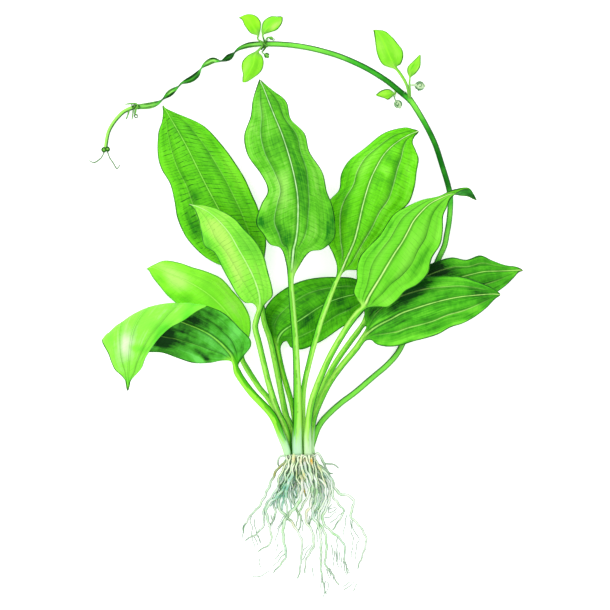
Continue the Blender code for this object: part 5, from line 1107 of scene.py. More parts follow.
# The first row of each stalk lies inside the runner, where the stalk comes out of it.
PLANTLET_LEAVES = {
    "plantlet_right_leaf_large": dict(
        stalk=((109.6, 358.6, 5.2, 3.0), (109, 362, 8, 2.6), (107.6, 369, 7.8, 2.8),
               (104.6, 375.8, 7.6, 3), (99.6, 383.4, 7.4, 3)),
        blade=(
            (94.6, 386.7, 7, 96, 387.8, 7, 97.2, 389, 7),
            (84.4, 390.6, 6, 92.8, 393.4, 7.6, 100.8, 391.8, 6.4),
            (79.8, 397, 5.4, 90, 399.6, 8, 102.8, 398.6, 6.4), (77.4, 405, 5, 87.2, 406, 8, 102, 406.2, 6),
            (76, 413.5, 4.6, 84, 413, 7.4, 96.2, 413.8, 5),
            (75.4, 419.6, 4.4, 80.6, 419.4, 6, 90.4, 420.4, 4.2),
            (74.6, 423.6, 4.2, 77.8, 423, 5, 84.4, 425, 4)),
        tip=(74, 426.4, 4)),
    "plantlet_right_leaf_small": dict(
        stalk=((110.4, 357.6, 5.2, 2.4), (110.4, 364.5, 8, 2.0), (109.9, 371, 7.6, 1.9),
               (110.1, 376, 7.4, 1.8)),
        blade=(
            (109.4, 378.4, 7.2, 110.4, 378.6, 7.2, 111.4, 378.5, 7.2),
            (107.9, 384, 6.4, 111.6, 384.2, 7.6, 116.4, 383, 6.6),
            (108.9, 389.4, 6, 114.2, 389.4, 7.4, 119.6, 388.4, 6),
            (114.2, 394.6, 5.4, 117.4, 394.4, 6.4, 120.6, 393.6, 5)),
        tip=(120.6, 401.4, 4.4)),
    "plantlet_right_leaf_low": dict(
        stalk=((97.4, 367.2, 3.2, 1.6), (95.7, 364.9, 3.3, 1.7), (95.6, 363.9, 3.6, 1.8)),
        blade=(
            (96, 361.8, 3.8, 95.2, 362.4, 4, 94.6, 363.2, 3.8),
            (91.8, 358.8, 3.2, 91.4, 362.4, 4.4, 90.4, 366.2, 3),
            (88, 356.6, 2.8, 86.6, 361.6, 4.4, 85.6, 366, 2.6),
            (83.6, 358.6, 2.4, 82, 361.2, 3.6, 80.4, 364, 2.2)),
        tip=(76.2, 360.6, 2)),
    "plantlet_top_leaf_left": dict(
        stalk=((-36.4, 412.6, 5.0, 2.2), (-38.6, 414.2, 8, 1.9), (-41.8, 416, 7.8, 1.8),
               (-42.6, 418.4, 7.4, 1.8)),
        blade=(
            (-43, 420.4, 7, -41.8, 420.6, 7, -40.8, 421, 7),
            (-49.6, 423, 5.6, -44.6, 425, 7.8, -39.6, 428, 6),
            (-54.6, 430, 4.8, -48, 431, 8, -40.6, 435, 5.6),
            (-57, 435.2, 4.2, -52.2, 436.4, 7, -45.4, 440.4, 5),
            (-59, 437.4, 3.6, -56.8, 438.6, 5, -53, 441.4, 4)),
        tip=(-61.4, 438.6, 3.2)),
    "plantlet_top_leaf_right": dict(
        stalk=((-35.6, 412.6, 5.2, 2.2), (-36, 415.4, 8, 1.8), (-36.8, 418, 7.8, 1.8)),
        blade=(
            (-38.2, 420.8, 7.4, -37.2, 421.2, 7.4, -36.2, 421.2, 7.4),
            (-38.4, 427, 6, -33.6, 426.2, 7.8, -29.2, 424, 6),
            (-36, 434.6, 5.2, -28.8, 431.2, 7.8, -23.4, 426.8, 5.4),
            (-29, 439.2, 4.6, -24, 435.2, 6.6, -19.2, 431.8, 4.6),
            (-22.4, 439.4, 4, -20.4, 437.4, 4.6, -18, 435.6, 4)),
        tip=(-17.8, 439.4, 3.6)),
    "plantlet_top_leaf_low": dict(
        stalk=((-35.8, 412.0, 5.0, 2.8), (-37.6, 409.4, 8, 2.2), (-40.2, 407, 7.6, 2.2)),
        blade=(
            (-41.2, 403.6, 7, -42.8, 404.6, 7, -44.4, 404.8, 7),
            (-38.2, 399.4, 5.6, -44.8, 399.8, 8.2, -52, 400.6, 6),
            (-37, 392.6, 5, -46.4, 392.8, 8.4, -57, 394.6, 5.4),
            (-38.8, 386.4, 4.6, -49.4, 385.8, 8, -58, 387.6, 4.8),
            (-44.2, 380.2, 4.2, -52.8, 379.6, 6.6, -57, 381.4, 4.2),
            (-52.4, 374.8, 3.8, -55.6, 375.2, 4.6, -57.2, 376.8, 3.6)),
        tip=(-57.6, 373.4, 3.4)),
}
ONE_VEIN = ((0.0, 0.1, (0.35, 0.5, 0.5, 0.45)),)
YOUNG_LOOK = USUAL_LOOK | dict(
    deep=(112, 224, 40), below=(130, 224, 64), below_light=(150, 236, 84), below_deep=(90, 180, 50),
    vein=(156, 250, 56), line=(40, 100, 30), stalk=(164, 240, 84), stalk_shade=(128, 214, 66),
    stalk_edge=(78, 140, 52), foot=(120, 190, 84), veins_left=ONE_VEIN, veins_right=ONE_VEIN,
    cross_veins=0.0, mottle=0.5, crosswise=0.2, rib_side_shade=0.0)
PLANTLET_LOOKS = {
    "plantlet_right_leaf_large": dict(
        body=(140, 242, 54), light=(178, 254, 88), wave=(0.4, 16, 0),
        patches=(
            (81, 409, 4, 8, 0.7), (95, 406, 3, 9, 0.5), (92, 396, 3, 7, -0.5), (95, 390, 5, 3, -0.7))),
    "plantlet_right_leaf_small": dict(
        body=(158, 248, 66), light=(186, 254, 96), wave=(0.3, 14, 0),
        patches=(
            (110.7, 383, 2, 3, -0.8), (113.4, 389, 1, 5, -1.4), (117.5, 386, 1.6, 4, 0.8))),
    "plantlet_right_leaf_low": dict(
        body=(156, 246, 60), light=(186, 252, 90), wave=(0.3, 14, 1),
        patches=(
            (91, 361, 3, 3, -0.7), (84, 362, 2, 4, 0.6))),
    "plantlet_top_leaf_left": dict(
        body=(152, 250, 44), light=(176, 254, 66), wave=(0.3, 16, 2),
        patches=(
            (-46, 425, 4, 4, -0.8), (-42, 432, 3, 6, 0.6), (-53, 437, 2, 5, 0.5))),
    "plantlet_top_leaf_right": dict(
        body=(144, 250, 60), light=(206, 255, 116), wave=(0.3, 16, 1),
        patches=(
            (-26, 430, 2, 7, 1.2), (-36, 424, 3, 3, -0.6), (-23, 426, 2, 4, -0.7), (-31, 433, 2, 5, -0.3))),
    "plantlet_top_leaf_low": dict(
        body=(150, 250, 54), light=(180, 252, 96), wave=(0.5, 18, 0),
        patches=(
            (-45, 391, 3, 9, -0.5), (-54, 388, 2.5, 9, 0.9), (-44, 402, 4, 3, -0.3), (-54, 377, 3, 3, 0.6))),
}
YOUNG_RELIEF = 0.0002
YOUNG_STALK_STEP = 1.0
YOUNG_BLADE_STEP = 0.6

for name, leaf in PLANTLET_LEAVES.items():
    look = YOUNG_LOOK | PLANTLET_LOOKS[name]
    grown(leaf_mesh(name + "_skin", leaf, look, YOUNG_STALK_STEP, YOUNG_BLADE_STEP),
          leaf_green(name, look, YOUNG_RELIEF), name)

# ------------------------------------------------------------------ buds, bracts and tendrils
# Small growths at the runner's nodes: pale round buds with curled scales, dark green buds and
# bracts, and the two thin tendrils at the runner's end.

# Each row is x, y, z and radius. The first one of most lies inside the runner, so that they grow out of it.
SMALL_STEMS = {
    "plantlet_right_bud_upper": (
        (109.6, 370.4, 7.4, 1.1), (111.6, 370.7, 7, 1.1), (114.4, 370.6, 6.4, 1.1), (116, 370.6, 5.8, 1.9),
        (117.6, 370.4, 5.2, 3.6), (120.3, 369.8, 4.9, 4.6), (123, 369.8, 4.8, 3.6), (124.6, 370, 4.6, 1.6)),
    "plantlet_right_bud_lower": (
        (96.6, 364.6, 3.2, 0.6), (94.8, 358.4, 3, 0.6), (95.6, 355.8, 3.4, 0.6), (96.4, 354.8, 3.8, 1.6),
        (97, 353.4, 4.2, 3.2), (98.4, 351.4, 4.4, 4.1), (99.6, 349.6, 4.2, 3.2), (100.4, 348.2, 4, 1.2)),
    "plantlet_top_bud_upper": (
        (-34.6, 412.8, 5.6, 0.9), (-34.2, 415.6, 6.8, 0.7), (-33, 418, 6, 0.7), (-31, 418.4, 5, 0.8),
        (-29.4, 418, 4.4, 1.7), (-28.2, 417.6, 4, 1.6), (-27.2, 417, 3.8, 0.7)),
    "plantlet_top_bud_lower": (
        (-34.2, 411.4, 5.8, 0.9), (-36.6, 406.2, 6.4, 0.6), (-38.2, 404, 5.4, 0.5),
        (-35.8, 401.8, 4.6, 0.6), (-34.8, 401.4, 4.2, 1.6), (-33.4, 400.2, 4, 2.6),
        (-32.2, 399.2, 3.8, 1.4)),
    "node_bract_upper": (
        (-162.6, 348.2, 4.8, 0.9), (-163, 350.4, 5.6, 0.9), (-165, 352, 4.6, 0.9),
        (-169.6, 352.2, 3.4, 0.8), (-175.4, 351.6, 2.4, 0.5)),
    "node_bract_lower": (
        (-164.4, 348.4, 4.6, 1.0), (-165, 346.4, 5, 1.0), (-165.4, 343.6, 3.8, 1.0),
        (-165.8, 341.8, 3, 0.8), (-164.2, 340.6, 2.4, 0.6)),
    "runner_end_bud": (
        (-199, 305.6, 2.4, 0.8), (-198.4, 305.6, 2.4, 2), (-196.8, 305.8, 2.4, 2.8),
        (-195.2, 306.8, 2.3, 1.5), (-193.4, 306.6, 2.2, 2.6), (-192.2, 306, 2.2, 2.1),
        (-191.4, 305.8, 2.2, 0.8)),
    "runner_tendril_left": (
        (-196.8, 305.8, 2.6, 0.6), (-197, 303, 1.8, 0.5), (-199.7, 297.9, 1.2, 0.6),
        (-204.8, 293.8, 0.9, 0.7), (-208, 293.2, 0.7, 0.5), (-211.6, 295, 0.6, 0.4)),
    "runner_tendril_right": (
        (-193.4, 305.8, 2.6, 0.6), (-193, 303, 1.8, 0.5), (-191, 297.6, 1.2, 0.6), (-187.8, 293, 0.9, 0.6),
        (-185, 288, 0.7, 0.6), (-183.4, 287.2, 0.6, 0.5), (-181, 290.5, 0.6, 0.4)),
}
# The strands that wind over each bud: middle, height, size, start, turns and thickness, then how far
# each winds in and how dark it is.
CURLS = {
    "plantlet_right_bud_upper": (
        ((120.2, 370), 5.6, 4.6, 215, -0.62, 0.5, 0.1, 0.8),
        ((120.2, 370.4), 8.4, 2.6, 170, -0.8, 0.5, 0.5, 0.8),
        ((119, 365.6), 6.8, 0.9, 60, 1.0, 0.5, 0.9, 1)),
    "plantlet_right_bud_lower": (
        ((98.6, 351.4), 5.2, 4, 160, -0.55, 0.5, 0.1, 0.8),
        ((97.8, 351.8), 7.4, 2.1, 100, 0.9, 0.5, 0.5, 0.9),
        ((98.2, 349.8), 7.4, 0.9, 60, 1.0, 0.5, 0.9, 1)),
    "plantlet_top_bud_upper": (
        ((-26.8, 416.6), 3.8, 1.2, 60, -0.9, 0.35, 0.1, 0.3),
        ((-33.6, 416.2), 6.2, 1.5, 90, -0.6, 0.4, 0.1, 0.6)),
    "plantlet_top_bud_lower": (
        ((-33.4, 400.4), 4.2, 2.4, 20, 0.6, 0.5, 0.05),),
    "node_bract_upper": (
        ((-166, 349.6), 5.4, 1.4, 100, 1.0, 0.5, 0.2),
        ((-162.8, 348.4), 5, 2.4, 150, -0.6, 0.6, 0.2)),
    "node_bract_lower": (
        ((-164.4, 339.8), 2.6, 1.9, 130, 0.85, 0.6, 0.2),),
    "runner_end_bud": (
        ((-196.8, 305.8), 3.6, 2.3, 60, 1.0, 0.6, 0.2),
        ((-193.2, 306.2), 3.6, 2.1, 120, -0.8, 0.8, 0.2)),
}
# Thin stalks and strands that grow beside them: how dark each is, and its rows.
STRANDS = {
    "plantlet_top_bud_upper": (
        (0.25, ((-38.6, 414.4, 8.6, 0.5), (-35.6, 411.6, 9.6, 0.8), (-32.4, 409, 8.8, 0.5))),
        (0.7, ((-37.2, 419.6, 7.4, 0.4), (-36.4, 416.6, 8.8, 0.7), (-34.4, 412.6, 9.4, 0.7)))),
    "plantlet_top_bud_lower": (
        (0.9, ((-34.6, 412.8, 9.2, 0.6), (-36.4, 409.6, 9.6, 0.8), (-38.6, 406.4, 8.2, 0.7))),
        (0.8, ((-33.4, 409.6, 8.6, 0.5), (-35.2, 407, 7.8, 0.6), (-37.2, 404.6, 6.8, 0.5)))),
    "node_bract_upper": (
        (0.9, ((-168.8, 352, 3.6, 0.5), (-168.6, 350, 5, 0.6), (-167.8, 347.8, 5.2, 0.5))),),
    "node_bract_lower": (
        (0.0, ((-171.6, 345.6, 3, 0.8), (-172.6, 341.6, 2, 0.7), (-174.4, 337, 1.2, 0.6))),
        (0.1, ((-167.4, 345.4, 3, 0.7), (-168, 341, 2, 0.6), (-168.8, 336.4, 1.2, 0.5)))),
    "plantlet_right_bud_upper": (
        (0.5, ((104.2, 362.6, 5.6, 0.35), (105.8, 364, 6.4, 0.35), (107.8, 361.6, 6.4, 0.35))),),
    "plantlet_right_bud_lower": (
        (0.8, ((93.6, 360.4, 4, 0.4), (95, 358, 4.2, 0.5), (95.6, 355.6, 4.4, 0.5))),),
}
STRAND_LEAST = 0.15           # the least radius of a strand
CURL_POINTS = 14              # to a whole turn of a curl
CURL_HEIGHT = 0.9             # how high a curl stands over its bud, as a share of a ball's height
CURL_TAPER = 0.4


def wrapped(name, rows, shade=0.0, step=0.5, sides=10):
    """The skin of a thin piece, from its rows. shade is how far it takes the colour of its lines."""
    rows = traced(rows, step)
    return sleeve(name, rows[:, :3], np.maximum(rows[:, 3], STRAND_LEAST), sides=sides,
                  shade=np.full(len(rows), float(shade)))


def curled(name, middle, height, size, start, turns, thick, winds_in=0.72, shade=0.9):
    """A bud scale: a thin dark strand that winds inwards over the bud, from the angle start in degrees."""
    count = max(3, round(abs(turns) * CURL_POINTS))
    share = np.arange(count + 1) / count
    angle = math.radians(start) + share * turns * 2 * math.pi
    reach = size * (1 - winds_in * share)
    rise = CURL_HEIGHT * np.sqrt(np.clip(size ** 2 - reach ** 2, 0, None))
    rows = np.column_stack([middle[0] + reach * np.cos(angle), middle[1] + reach * np.sin(angle),
                            height + rise, thick * (1 - CURL_TAPER * share)])
    return wrapped(name, rows, shade)


bud_green = stem_green("bud_green", (214, 244, 192), (238, 252, 226), (150, 204, 134), (60, 132, 74), 0.25)
dark_green = stem_green("node_green", (124, 206, 78), (168, 236, 118), (40, 124, 30), (14, 84, 18), 0.7)
tendril_green = stem_green("tendril_green", (118, 166, 104), (142, 190, 126), (80, 124, 76), (60, 98, 60))
for name, rows in SMALL_STEMS.items():
    skins = [wrapped(name + "_body", rows)]
    skins += [curled(name + "_curl", *curl) for curl in CURLS.get(name, ())]
    skins += [wrapped(name + "_strand", strand, shade) for shade, strand in STRANDS.get(name, ())]
    finish = tendril_green if "tendril" in name else bud_green if "right_bud" in name else dark_green
    grown(gathered(name + "_skin", skins), finish, name)

# ------------------------------------------------------------------ crown
# The short rootstock: pale flesh, hidden by the feet of the stalks above it and by the roots that
# crowd out of its sides and its lower end. It is stained ochre and brown between them.

CROWN_MIDDLE = 14.9
CROWN_REACH = (14.4, 9.5, 12.4)       # half width, length below the stalks, half depth
CROWN_RINGS = (0, 12, 24, 36, 48, 60, 72, 84)
CROWN_SIDES = 64
CROWN_SQUARENESS = 3                  # 2 would make it round
CROWN_RIDGES = 9
CROWN_RIDGE_SHADE = 0.8
CROWN_RIM = 0.1
CROWN_SHADE = 0.9                     # of its lower end, which sets in between these lengths
CROWN_SHADE_FROM = (3, 9)
CROWN_LUMPS = (0.035, 5, 3), (0.025, 11, -4)    # height, number round it, and how far they wind
# Ochre and green stain on the crown and the roots, and teal painted shade on them: x, y, half width, half
# length, strength.
OCHRE_STAINS = (
    (-17.4, -8, 3, 3.4, 0.6), (-20.5, -13, 3, 4, 0.9), (-25, -19.5, 2.6, 5, 0.9), (11.6, -6, 1.8, 3.6, 1.1),
    (5, -4.4, 1.6, 2.4, 0.8), (3.2, -21, 2.2, 5, 0.8), (4.6, -37, 1.8, 6, 0.9), (-6, -4, 1.6, 3.4, 0.6),
    (0.6, -6, 1.4, 4, 0.5), (-3, -18, 1.4, 3, 0.5), (19.4, -12, 2.4, 4, 0.5), (9, -48, 1.5, 9, 0.3),
    (7.4, -60, 2.4, 9, 0.4), (-7, -70, 4, 6, 0.4), (24, -26, 1.6, 6, 0.3))
TEAL_SHADE_SPOTS = (
    (-14, -29, 6, 9, 0.8), (-16, -37, 5, 6, 0.6), (-21, -42, 5, 6, 0.5), (-4.4, -39, 3, 4.4, 1.0),
    (-26, -47, 6, 8, 0.5), (-33, -56, 4, 8, 0.5), (-14.5, -98, 3, 10, 0.4), (-17, -47, 3, 8, 0.5),
    (-9, -22, 3, 6, 0.5), (8, -16, 3, 8, 0.3), (44, -96, 4, 9, 0.5), (12.8, -60, 2.4, 8, 0.4),
    (30, -24, 4, 6, 0.3), (7, -30, 3, 4, 0.3))
GREEN_STAINS = (
    (12, -33, 3, 4, 0.7), (18, -36, 4, 9, 0.6), (16, -50, 4, 9, 0.6), (22, -66, 4, 10, 0.8),
    (26.6, -92, 3, 14, 0.6), (35, -80, 5, 5, 0.8), (-1, -50, 4, 9, 0.7), (-15, -78, 4, 14, 0.7),
    (0, -56, 4, 8, 0.6), (-10, -44, 3, 6, 0.6), (36, -50, 5, 8, 0.4), (20, -11, 2.6, 5, 0.7),
    (-28, -84, 3, 10, 0.4), (13, -88, 3, 8, 0.4))


def stained(points, stains_and_shade):
    """How strongly the given spots of stain and painted shade show at each point."""
    total = np.zeros(len(points))
    for x, y, wide, high, strength in stains_and_shade:
        total += strength * np.exp(-((points[:, 0] - x) / wide) ** 2 - ((points[:, 1] - y) / high) ** 2)
    return np.clip(total, 0, 1)


def stain_and_shade_marks(points):
    """The marks of ochre and green stain and of teal painted shade at each point."""
    return dict(ochre=stained(points, OCHRE_STAINS), teal=stained(points, TEAL_SHADE_SPOTS),
                green=stained(points, GREEN_STAINS))


# A root's marks: which flank and crest a point is on, how thick its dark edge is, how deep in shade it
# lies, how strongly it is stained ochre and green, and how much teal painted shade it has.
paint = Paint("root_paint", ("Body", "Light", "Deep", "Line", "Ochre", "Teal", "Green"))
given = paint.given
flank = paint.mark("flank")
here = paint.here()
fibres = paint.vector(paint.times(flank, 1.6), paint.times(paint.mark("crest"), 1.6),
                      paint.times(paint.mark("length"), 0.16))
fibres = paint.noise(fibres, 1.3)
clouds = paint.noise(here, 75.0)
specks = paint.noise(here, 420.0)
# Pale flesh with soft clouds, its ochre and green stain, and teal painted shade.
colour = paint.over(given["Body"], given["Light"], paint.step(clouds, 0.38, 0.56))
blots = paint.step(paint.noise(here, 210.0, 2.0), 0.36, 0.6, 0.3, 1.0)
colour = paint.over(colour, given["Green"], paint.times(paint.mark("green"), blots))
colour = paint.over(colour, given["Teal"], paint.times(paint.mark("teal"), blots))
ochre = paint.times(paint.mark("ochre"), paint.step(specks, 0.3, 0.6, 0.5, 1.0))
colour = paint.over(colour, given["Ochre"], ochre)
# Painted shade on the flanks, the dark edges, and the painted shade under the crown.
side = paint.times(paint.less(fibres, 0.5), 1.1, paint.plus(paint.size(flank), paint.mark("rim")))
colour = paint.over(colour, given["Deep"], paint.step(side, 0.82, 1.1))
colour = paint.over(colour, given["Line"], paint.step(side, 1.0, 1.26))
colour = paint.over(colour, given["Line"], paint.mark("shade"))
root_paint = paint.done(colour, paint.step(fibres, 0.2, 0.8, 0.4, 0.6), fibres)
ROOT_RELIEF = 0.0002
ROOT_THROUGH = 0.1
# The teal of the painted shade among the roots, and the green of their stains.
TEAL_SHADE = (132, 204, 178)
GREEN_STAIN = (174, 236, 156)


def root_white(name, body=(222, 246, 216), light=(248, 255, 244), deep=(162, 212, 160), line=(74, 126, 84),
               ochre=(234, 208, 96), lit=0.96):
    """The finish of roots, and of the crown's flesh."""
    colours = {"Body": body, "Light": light, "Deep": deep, "Line": line, "Ochre": ochre,
               "Teal": TEAL_SHADE, "Green": GREEN_STAIN}
    return living(name, root_paint, ROOT_RELIEF, colours, through=ROOT_THROUGH, lit=lit)


turns = np.radians(CROWN_RINGS)[:, None]
angle = np.linspace(0, 2 * math.pi, CROWN_SIDES, endpoint=False)[None, :]
lumps = sum((height * np.sin(many * angle + winds * turns) for height, many, winds in CROWN_LUMPS), 1)
square = ((np.abs(np.cos(angle)) ** CROWN_SQUARENESS + np.abs(np.sin(angle)) ** CROWN_SQUARENESS)
          ** (-1 / CROWN_SQUARENESS))
dome = np.stack([CROWN_REACH[0] * np.cos(angle) * square * np.cos(turns) * lumps,
                 -CROWN_REACH[1] * np.sin(turns) + 0 * angle,
                 CROWN_MIDDLE + CROWN_REACH[2] * np.sin(angle) * square * np.cos(turns) * lumps], axis=2)
stains_and_shade = {mark: values.reshape(lumps.shape) for mark, values in stain_and_shade_marks(dome.reshape(-1, 3)).items()}
crown = rolled("crown_skin", dome, {
    "flank": CROWN_RIDGE_SHADE * np.sin(CROWN_RIDGES * angle), "crest": np.cos(CROWN_RIDGES * angle),
    "length": 10 * turns, "rim": CROWN_RIM,
    "shade": CROWN_SHADE * ease(*CROWN_SHADE_FROM, -dome[..., 1]), **stains_and_shade})
crown_flesh = root_white("crown_flesh", (214, 234, 198), (238, 248, 226), (150, 170, 116), (70, 104, 76),
                         (206, 150, 64))
grown(crown, crown_flesh, "crown")

# ------------------------------------------------------------------ roots
# Soft white roots, thick as string, that crowd out of the crown and lie over each other on the table,
# stained ochre and green in places, with teal painted shade. Short ones bulge over the crown's foot, two
# loop out of its sides, and a tangle of fine ones fills the dark below.

# Each root is its height and radius at the crown, then its way in plan.
ROOTS = {
    "root_left_inner": (4.6, 1.5, (
        (-8, -12), (-14, -22), (-19.5, -36), (-26, -47), (-25, -60), (-31, -73))),
    "root_middle_low": (4.8, 1.5, (
        (0, -13), (-3, -26), (-8, -38), (-5, -52), (1, -64), (-1, -76))),
    "root_right_low": (5, 1.5, (
        (9, -12), (12.6, -24), (20, -35), (21.6, -48), (14.5, -58), (9.5, -70))),
    "root_left_far": (8.6, 1.4, (
        (-13.5, -8), (-21.7, -13.5), (-26.5, -22), (-31, -32), (-36, -43), (-42, -53.5), (-49.5, -61),
        (-55, -70.5), (-57.5, -79))),
    "root_right_far": (9.2, 1.5, (
        (13.2, -9), (24, -14), (31, -23.7), (35.7, -35), (41.4, -40), (50, -42), (54, -48.6), (51, -62),
        (59.6, -71.6), (66.3, -84), (64.4, -96.4), (57.7, -114.6))),
    "root_centre_left": (9.6, 1.7, (
        (-3.6, -13), (-9, -24), (-18, -37), (-21.7, -48.6), (-19.8, -56), (-10, -66), (-4.5, -74),
        (1, -84), (2, -94.5), (0, -115), (-2, -124.5))),
    "root_centre_short": (10, 1.4, (
        (3.6, -14), (2, -22), (-0.7, -27.5), (4, -35), (5.6, -41))),
    "root_left_hooked": (13.4, 1.5, (
        (-11, -11), (-17, -24), (-22, -33), (-28.4, -43), (-35, -52.4), (-36.6, -62), (-36, -69.6),
        (-42.8, -79), (-55, -86))),
    "root_right_outer": (13.6, 1.6, (
        (11.4, -10), (19, -19), (29, -31), (28.4, -48.6), (22.6, -62), (24, -69.7), (32, -78), (40.5, -85),
        (45.3, -94.5), (44.3, -103), (48, -119.4))),
    "root_right_mid": (14.4, 1.6, (
        (6.6, -13), (14, -22), (24.2, -29), (25.2, -45), (19.4, -57), (18.4, -67.7), (25, -79),
        (26.6, -95.5), (25.2, -110), (32, -120), (38.6, -131))),
    "root_left_mid": (14.8, 1.7, (
        (-6.2, -13), (-12, -27), (-22, -41), (-31, -49), (-34, -57), (-32, -66), (-29.4, -78), (-29, -87),
        (-33, -92), (-42, -97))),
    "root_right_curved": (18.2, 1.5, (
        (14, -7), (23.3, -16), (31, -25.6), (32.8, -41), (37.6, -48.6), (43.8, -57), (37.6, -68.7),
        (32.8, -75.4))),
    "root_centre_right": (18.6, 1.6, (
        (9.2, -11), (14.4, -22), (16.6, -33), (15.6, -45), (12.7, -56), (13.7, -64), (18.5, -71.6),
        (20.9, -86), (21, -103), (21, -115), (23, -128), (26, -140))),
    "root_centre_thick": (18.8, 2.0, (
        (-1.2, -14), (2.4, -27), (1.2, -39), (-1.6, -48.6), (-9.3, -58), (-15, -66), (-17, -76),
        (-16, -89), (-14, -98.4), (-16, -106), (-26.5, -118.5))),
    "root_left_thick": (19.2, 1.9, (
        (-5.6, -13), (-8.3, -21), (-13, -33), (-14.4, -46), (-12.4, -58), (-13, -66))),
    "root_centre_wavy": (22.8, 1.7, (
        (4.6, -12), (11, -26), (12, -41), (9.9, -52.4), (6, -60), (7, -69.6), (11.8, -76), (13.7, -87),
        (12.7, -94.5), (6, -106), (5, -119.4))),
    "root_centre_hooked": (23.2, 1.5, (
        (0.6, -12), (7, -26), (8.9, -38), (4.2, -48.5), (-1.6, -60), (-3.5, -71.6))),
}
# Two roots loop out of the crown's sides instead. Each row is x, y, z, radius.
SIDE_ROOTS = {
    "root_loop_left": (
        (-12.4, -2.2, 17, 1.1), (-15, -1.5, 17.4, 1), (-17.6, -0.9, 16.6, 0.95), (-20, -2, 15, 0.95),
        (-21.6, -4.6, 12.6, 0.95), (-22.2, -8, 9.6, 0.9), (-21.6, -11, 7, 0.7), (-20, -12.4, 5.6, 0.5)),
    "root_loop_right": (
        (11.8, -3, 17.4, 1.1), (14.6, -1.4, 18, 1.1), (16.2, 0.7, 17.6, 1.1), (18, 1.4, 16.6, 1.1),
        (19.8, -0.6, 15, 1.2), (22, -4.8, 12.4, 1.25), (24.2, -9.4, 9.6, 1.2), (26.2, -14, 7.2, 1),
        (28.8, -18.2, 5.2, 0.7), (33.4, -19.6, 3.6, 0.45)),
    "root_branch_right": (
        (24.4, -8.8, 9.6, 0.8), (28, -9.4, 8.6, 0.8), (32.5, -9.7, 6.6, 0.8), (35.6, -11, 4.6, 0.8),
        (38.5, -13.6, 3, 0.6)),
}
# Short roots bulge out of the crown's front and hang over the others. Each row is x, y, z, radius.
FRONT_ROOTS = (
    ((-13, 1.4, 22, 0.9), (-13.6, -2, 24.4, 1.1), (-12.6, -6, 24, 1.2), (-15.4, -11, 20.6, 1.1),
     (-17.6, -17, 16, 1.2), (-21.6, -24, 12, 1.1), (-21, -33, 9, 0.8)),
    ((-10.4, 0.6, 25, 0.9), (-9.6, -3, 26.6, 1.1), (-11.4, -7, 25, 1.2), (-11.4, -12, 22.6, 1.2),
     (-15, -18, 18.4, 1.3), (-14.6, -25, 14.6, 1.2), (-18.4, -33, 10.4, 0.8)),
    ((-6.2, 0.8, 25.4, 1.2), (-6.4, -2, 26.8, 2), (-6.6, -5.6, 26.6, 1.9), (-8.4, -11, 23.6, 1.3),
     (-9.6, -17, 20, 1.2), (-12.6, -23, 16.4, 1.4), (-11, -31, 12.6, 1.3), (-13.4, -39, 9, 0.8)),
    ((-3.6, -4, 24.6, 0.8), (-5.4, -9, 25.4, 1), (-7.6, -14, 22.8, 1.1), (-6.8, -20, 19.4, 1.2),
     (-8.6, -27, 15.6, 1.1), (-6.6, -34, 12, 0.8)),
    ((0.4, -2.6, 27, 0.8), (-0.6, -0.9, 28.4, 1), (-2, -2, 28.8, 1.1), (-2.1, -6.6, 28, 1.2),
     (-4, -12, 25, 1.2), (-3.4, -18, 21.4, 1.1), (-3.4, -24, 18, 1.2), (-0.2, -29, 14.6, 1.2),
     (3.6, -34, 11.6, 1.1), (5.6, -42, 8.4, 0.5)),
    ((1.6, 0, 26, 0.8), (1.2, -2.8, 27.8, 1.4), (0.8, -7, 26.8, 1.2), (-0.8, -12, 23.6, 0.9),
     (0.2, -19, 20, 0.9), (-2.2, -26, 16.4, 0.9), (-1.6, -35, 12.2, 0.9), (-4, -43, 8.6, 0.6)),
    ((3.2, -8, 25, 0.7), (3.2, -3.6, 27.6, 0.9), (4.6, -1.4, 28.6, 1), (6.4, -2.4, 28.6, 1.1),
     (7.2, -6.4, 27.8, 1.3), (9.4, -11, 25.2, 1.4), (10, -16, 22.2, 1.5), (12, -21.6, 19, 1.4),
     (11.4, -28, 15.8, 1.2), (13, -35, 12, 0.7)),
    ((3.2, -10, 24.4, 0.8), (1.8, -15, 22.6, 0.8), (3.6, -20, 20, 0.9), (5.2, -26, 16.6, 0.9),
     (9, -32, 13.4, 0.8), (11.2, -38, 10.4, 0.7), (12.6, -45, 8, 0.5)),
    ((8.8, 0.6, 25, 1.2), (9, -3, 26.4, 1.7), (9.4, -7.4, 25.6, 1.2), (11, -12.6, 23, 0.7)),
    ((11.2, -1.6, 25.2, 1), (11.4, -5, 26, 1.6), (12, -9, 24.6, 1.2), (13.6, -14.6, 21, 0.9),
     (13, -20, 18, 0.6)),
    ((11, -3, 26, 0.6), (12, -1.4, 26.8, 0.8), (13.6, -1.6, 26.2, 0.8), (15, -4, 24.8, 0.8),
     (14.4, -8.6, 23.4, 0.9), (16, -15, 20.2, 1.1), (16.4, -22, 16.6, 1.3), (19, -30, 12.8, 0.9)),
    ((14.4, -4, 21.6, 0.9), (17, -7.4, 22, 1.1), (18.2, -11.6, 19.6, 1.4), (21, -16.4, 16.4, 1.3),
     (22.8, -23, 13.4, 1.2), (26.4, -31, 10, 0.8)),
)
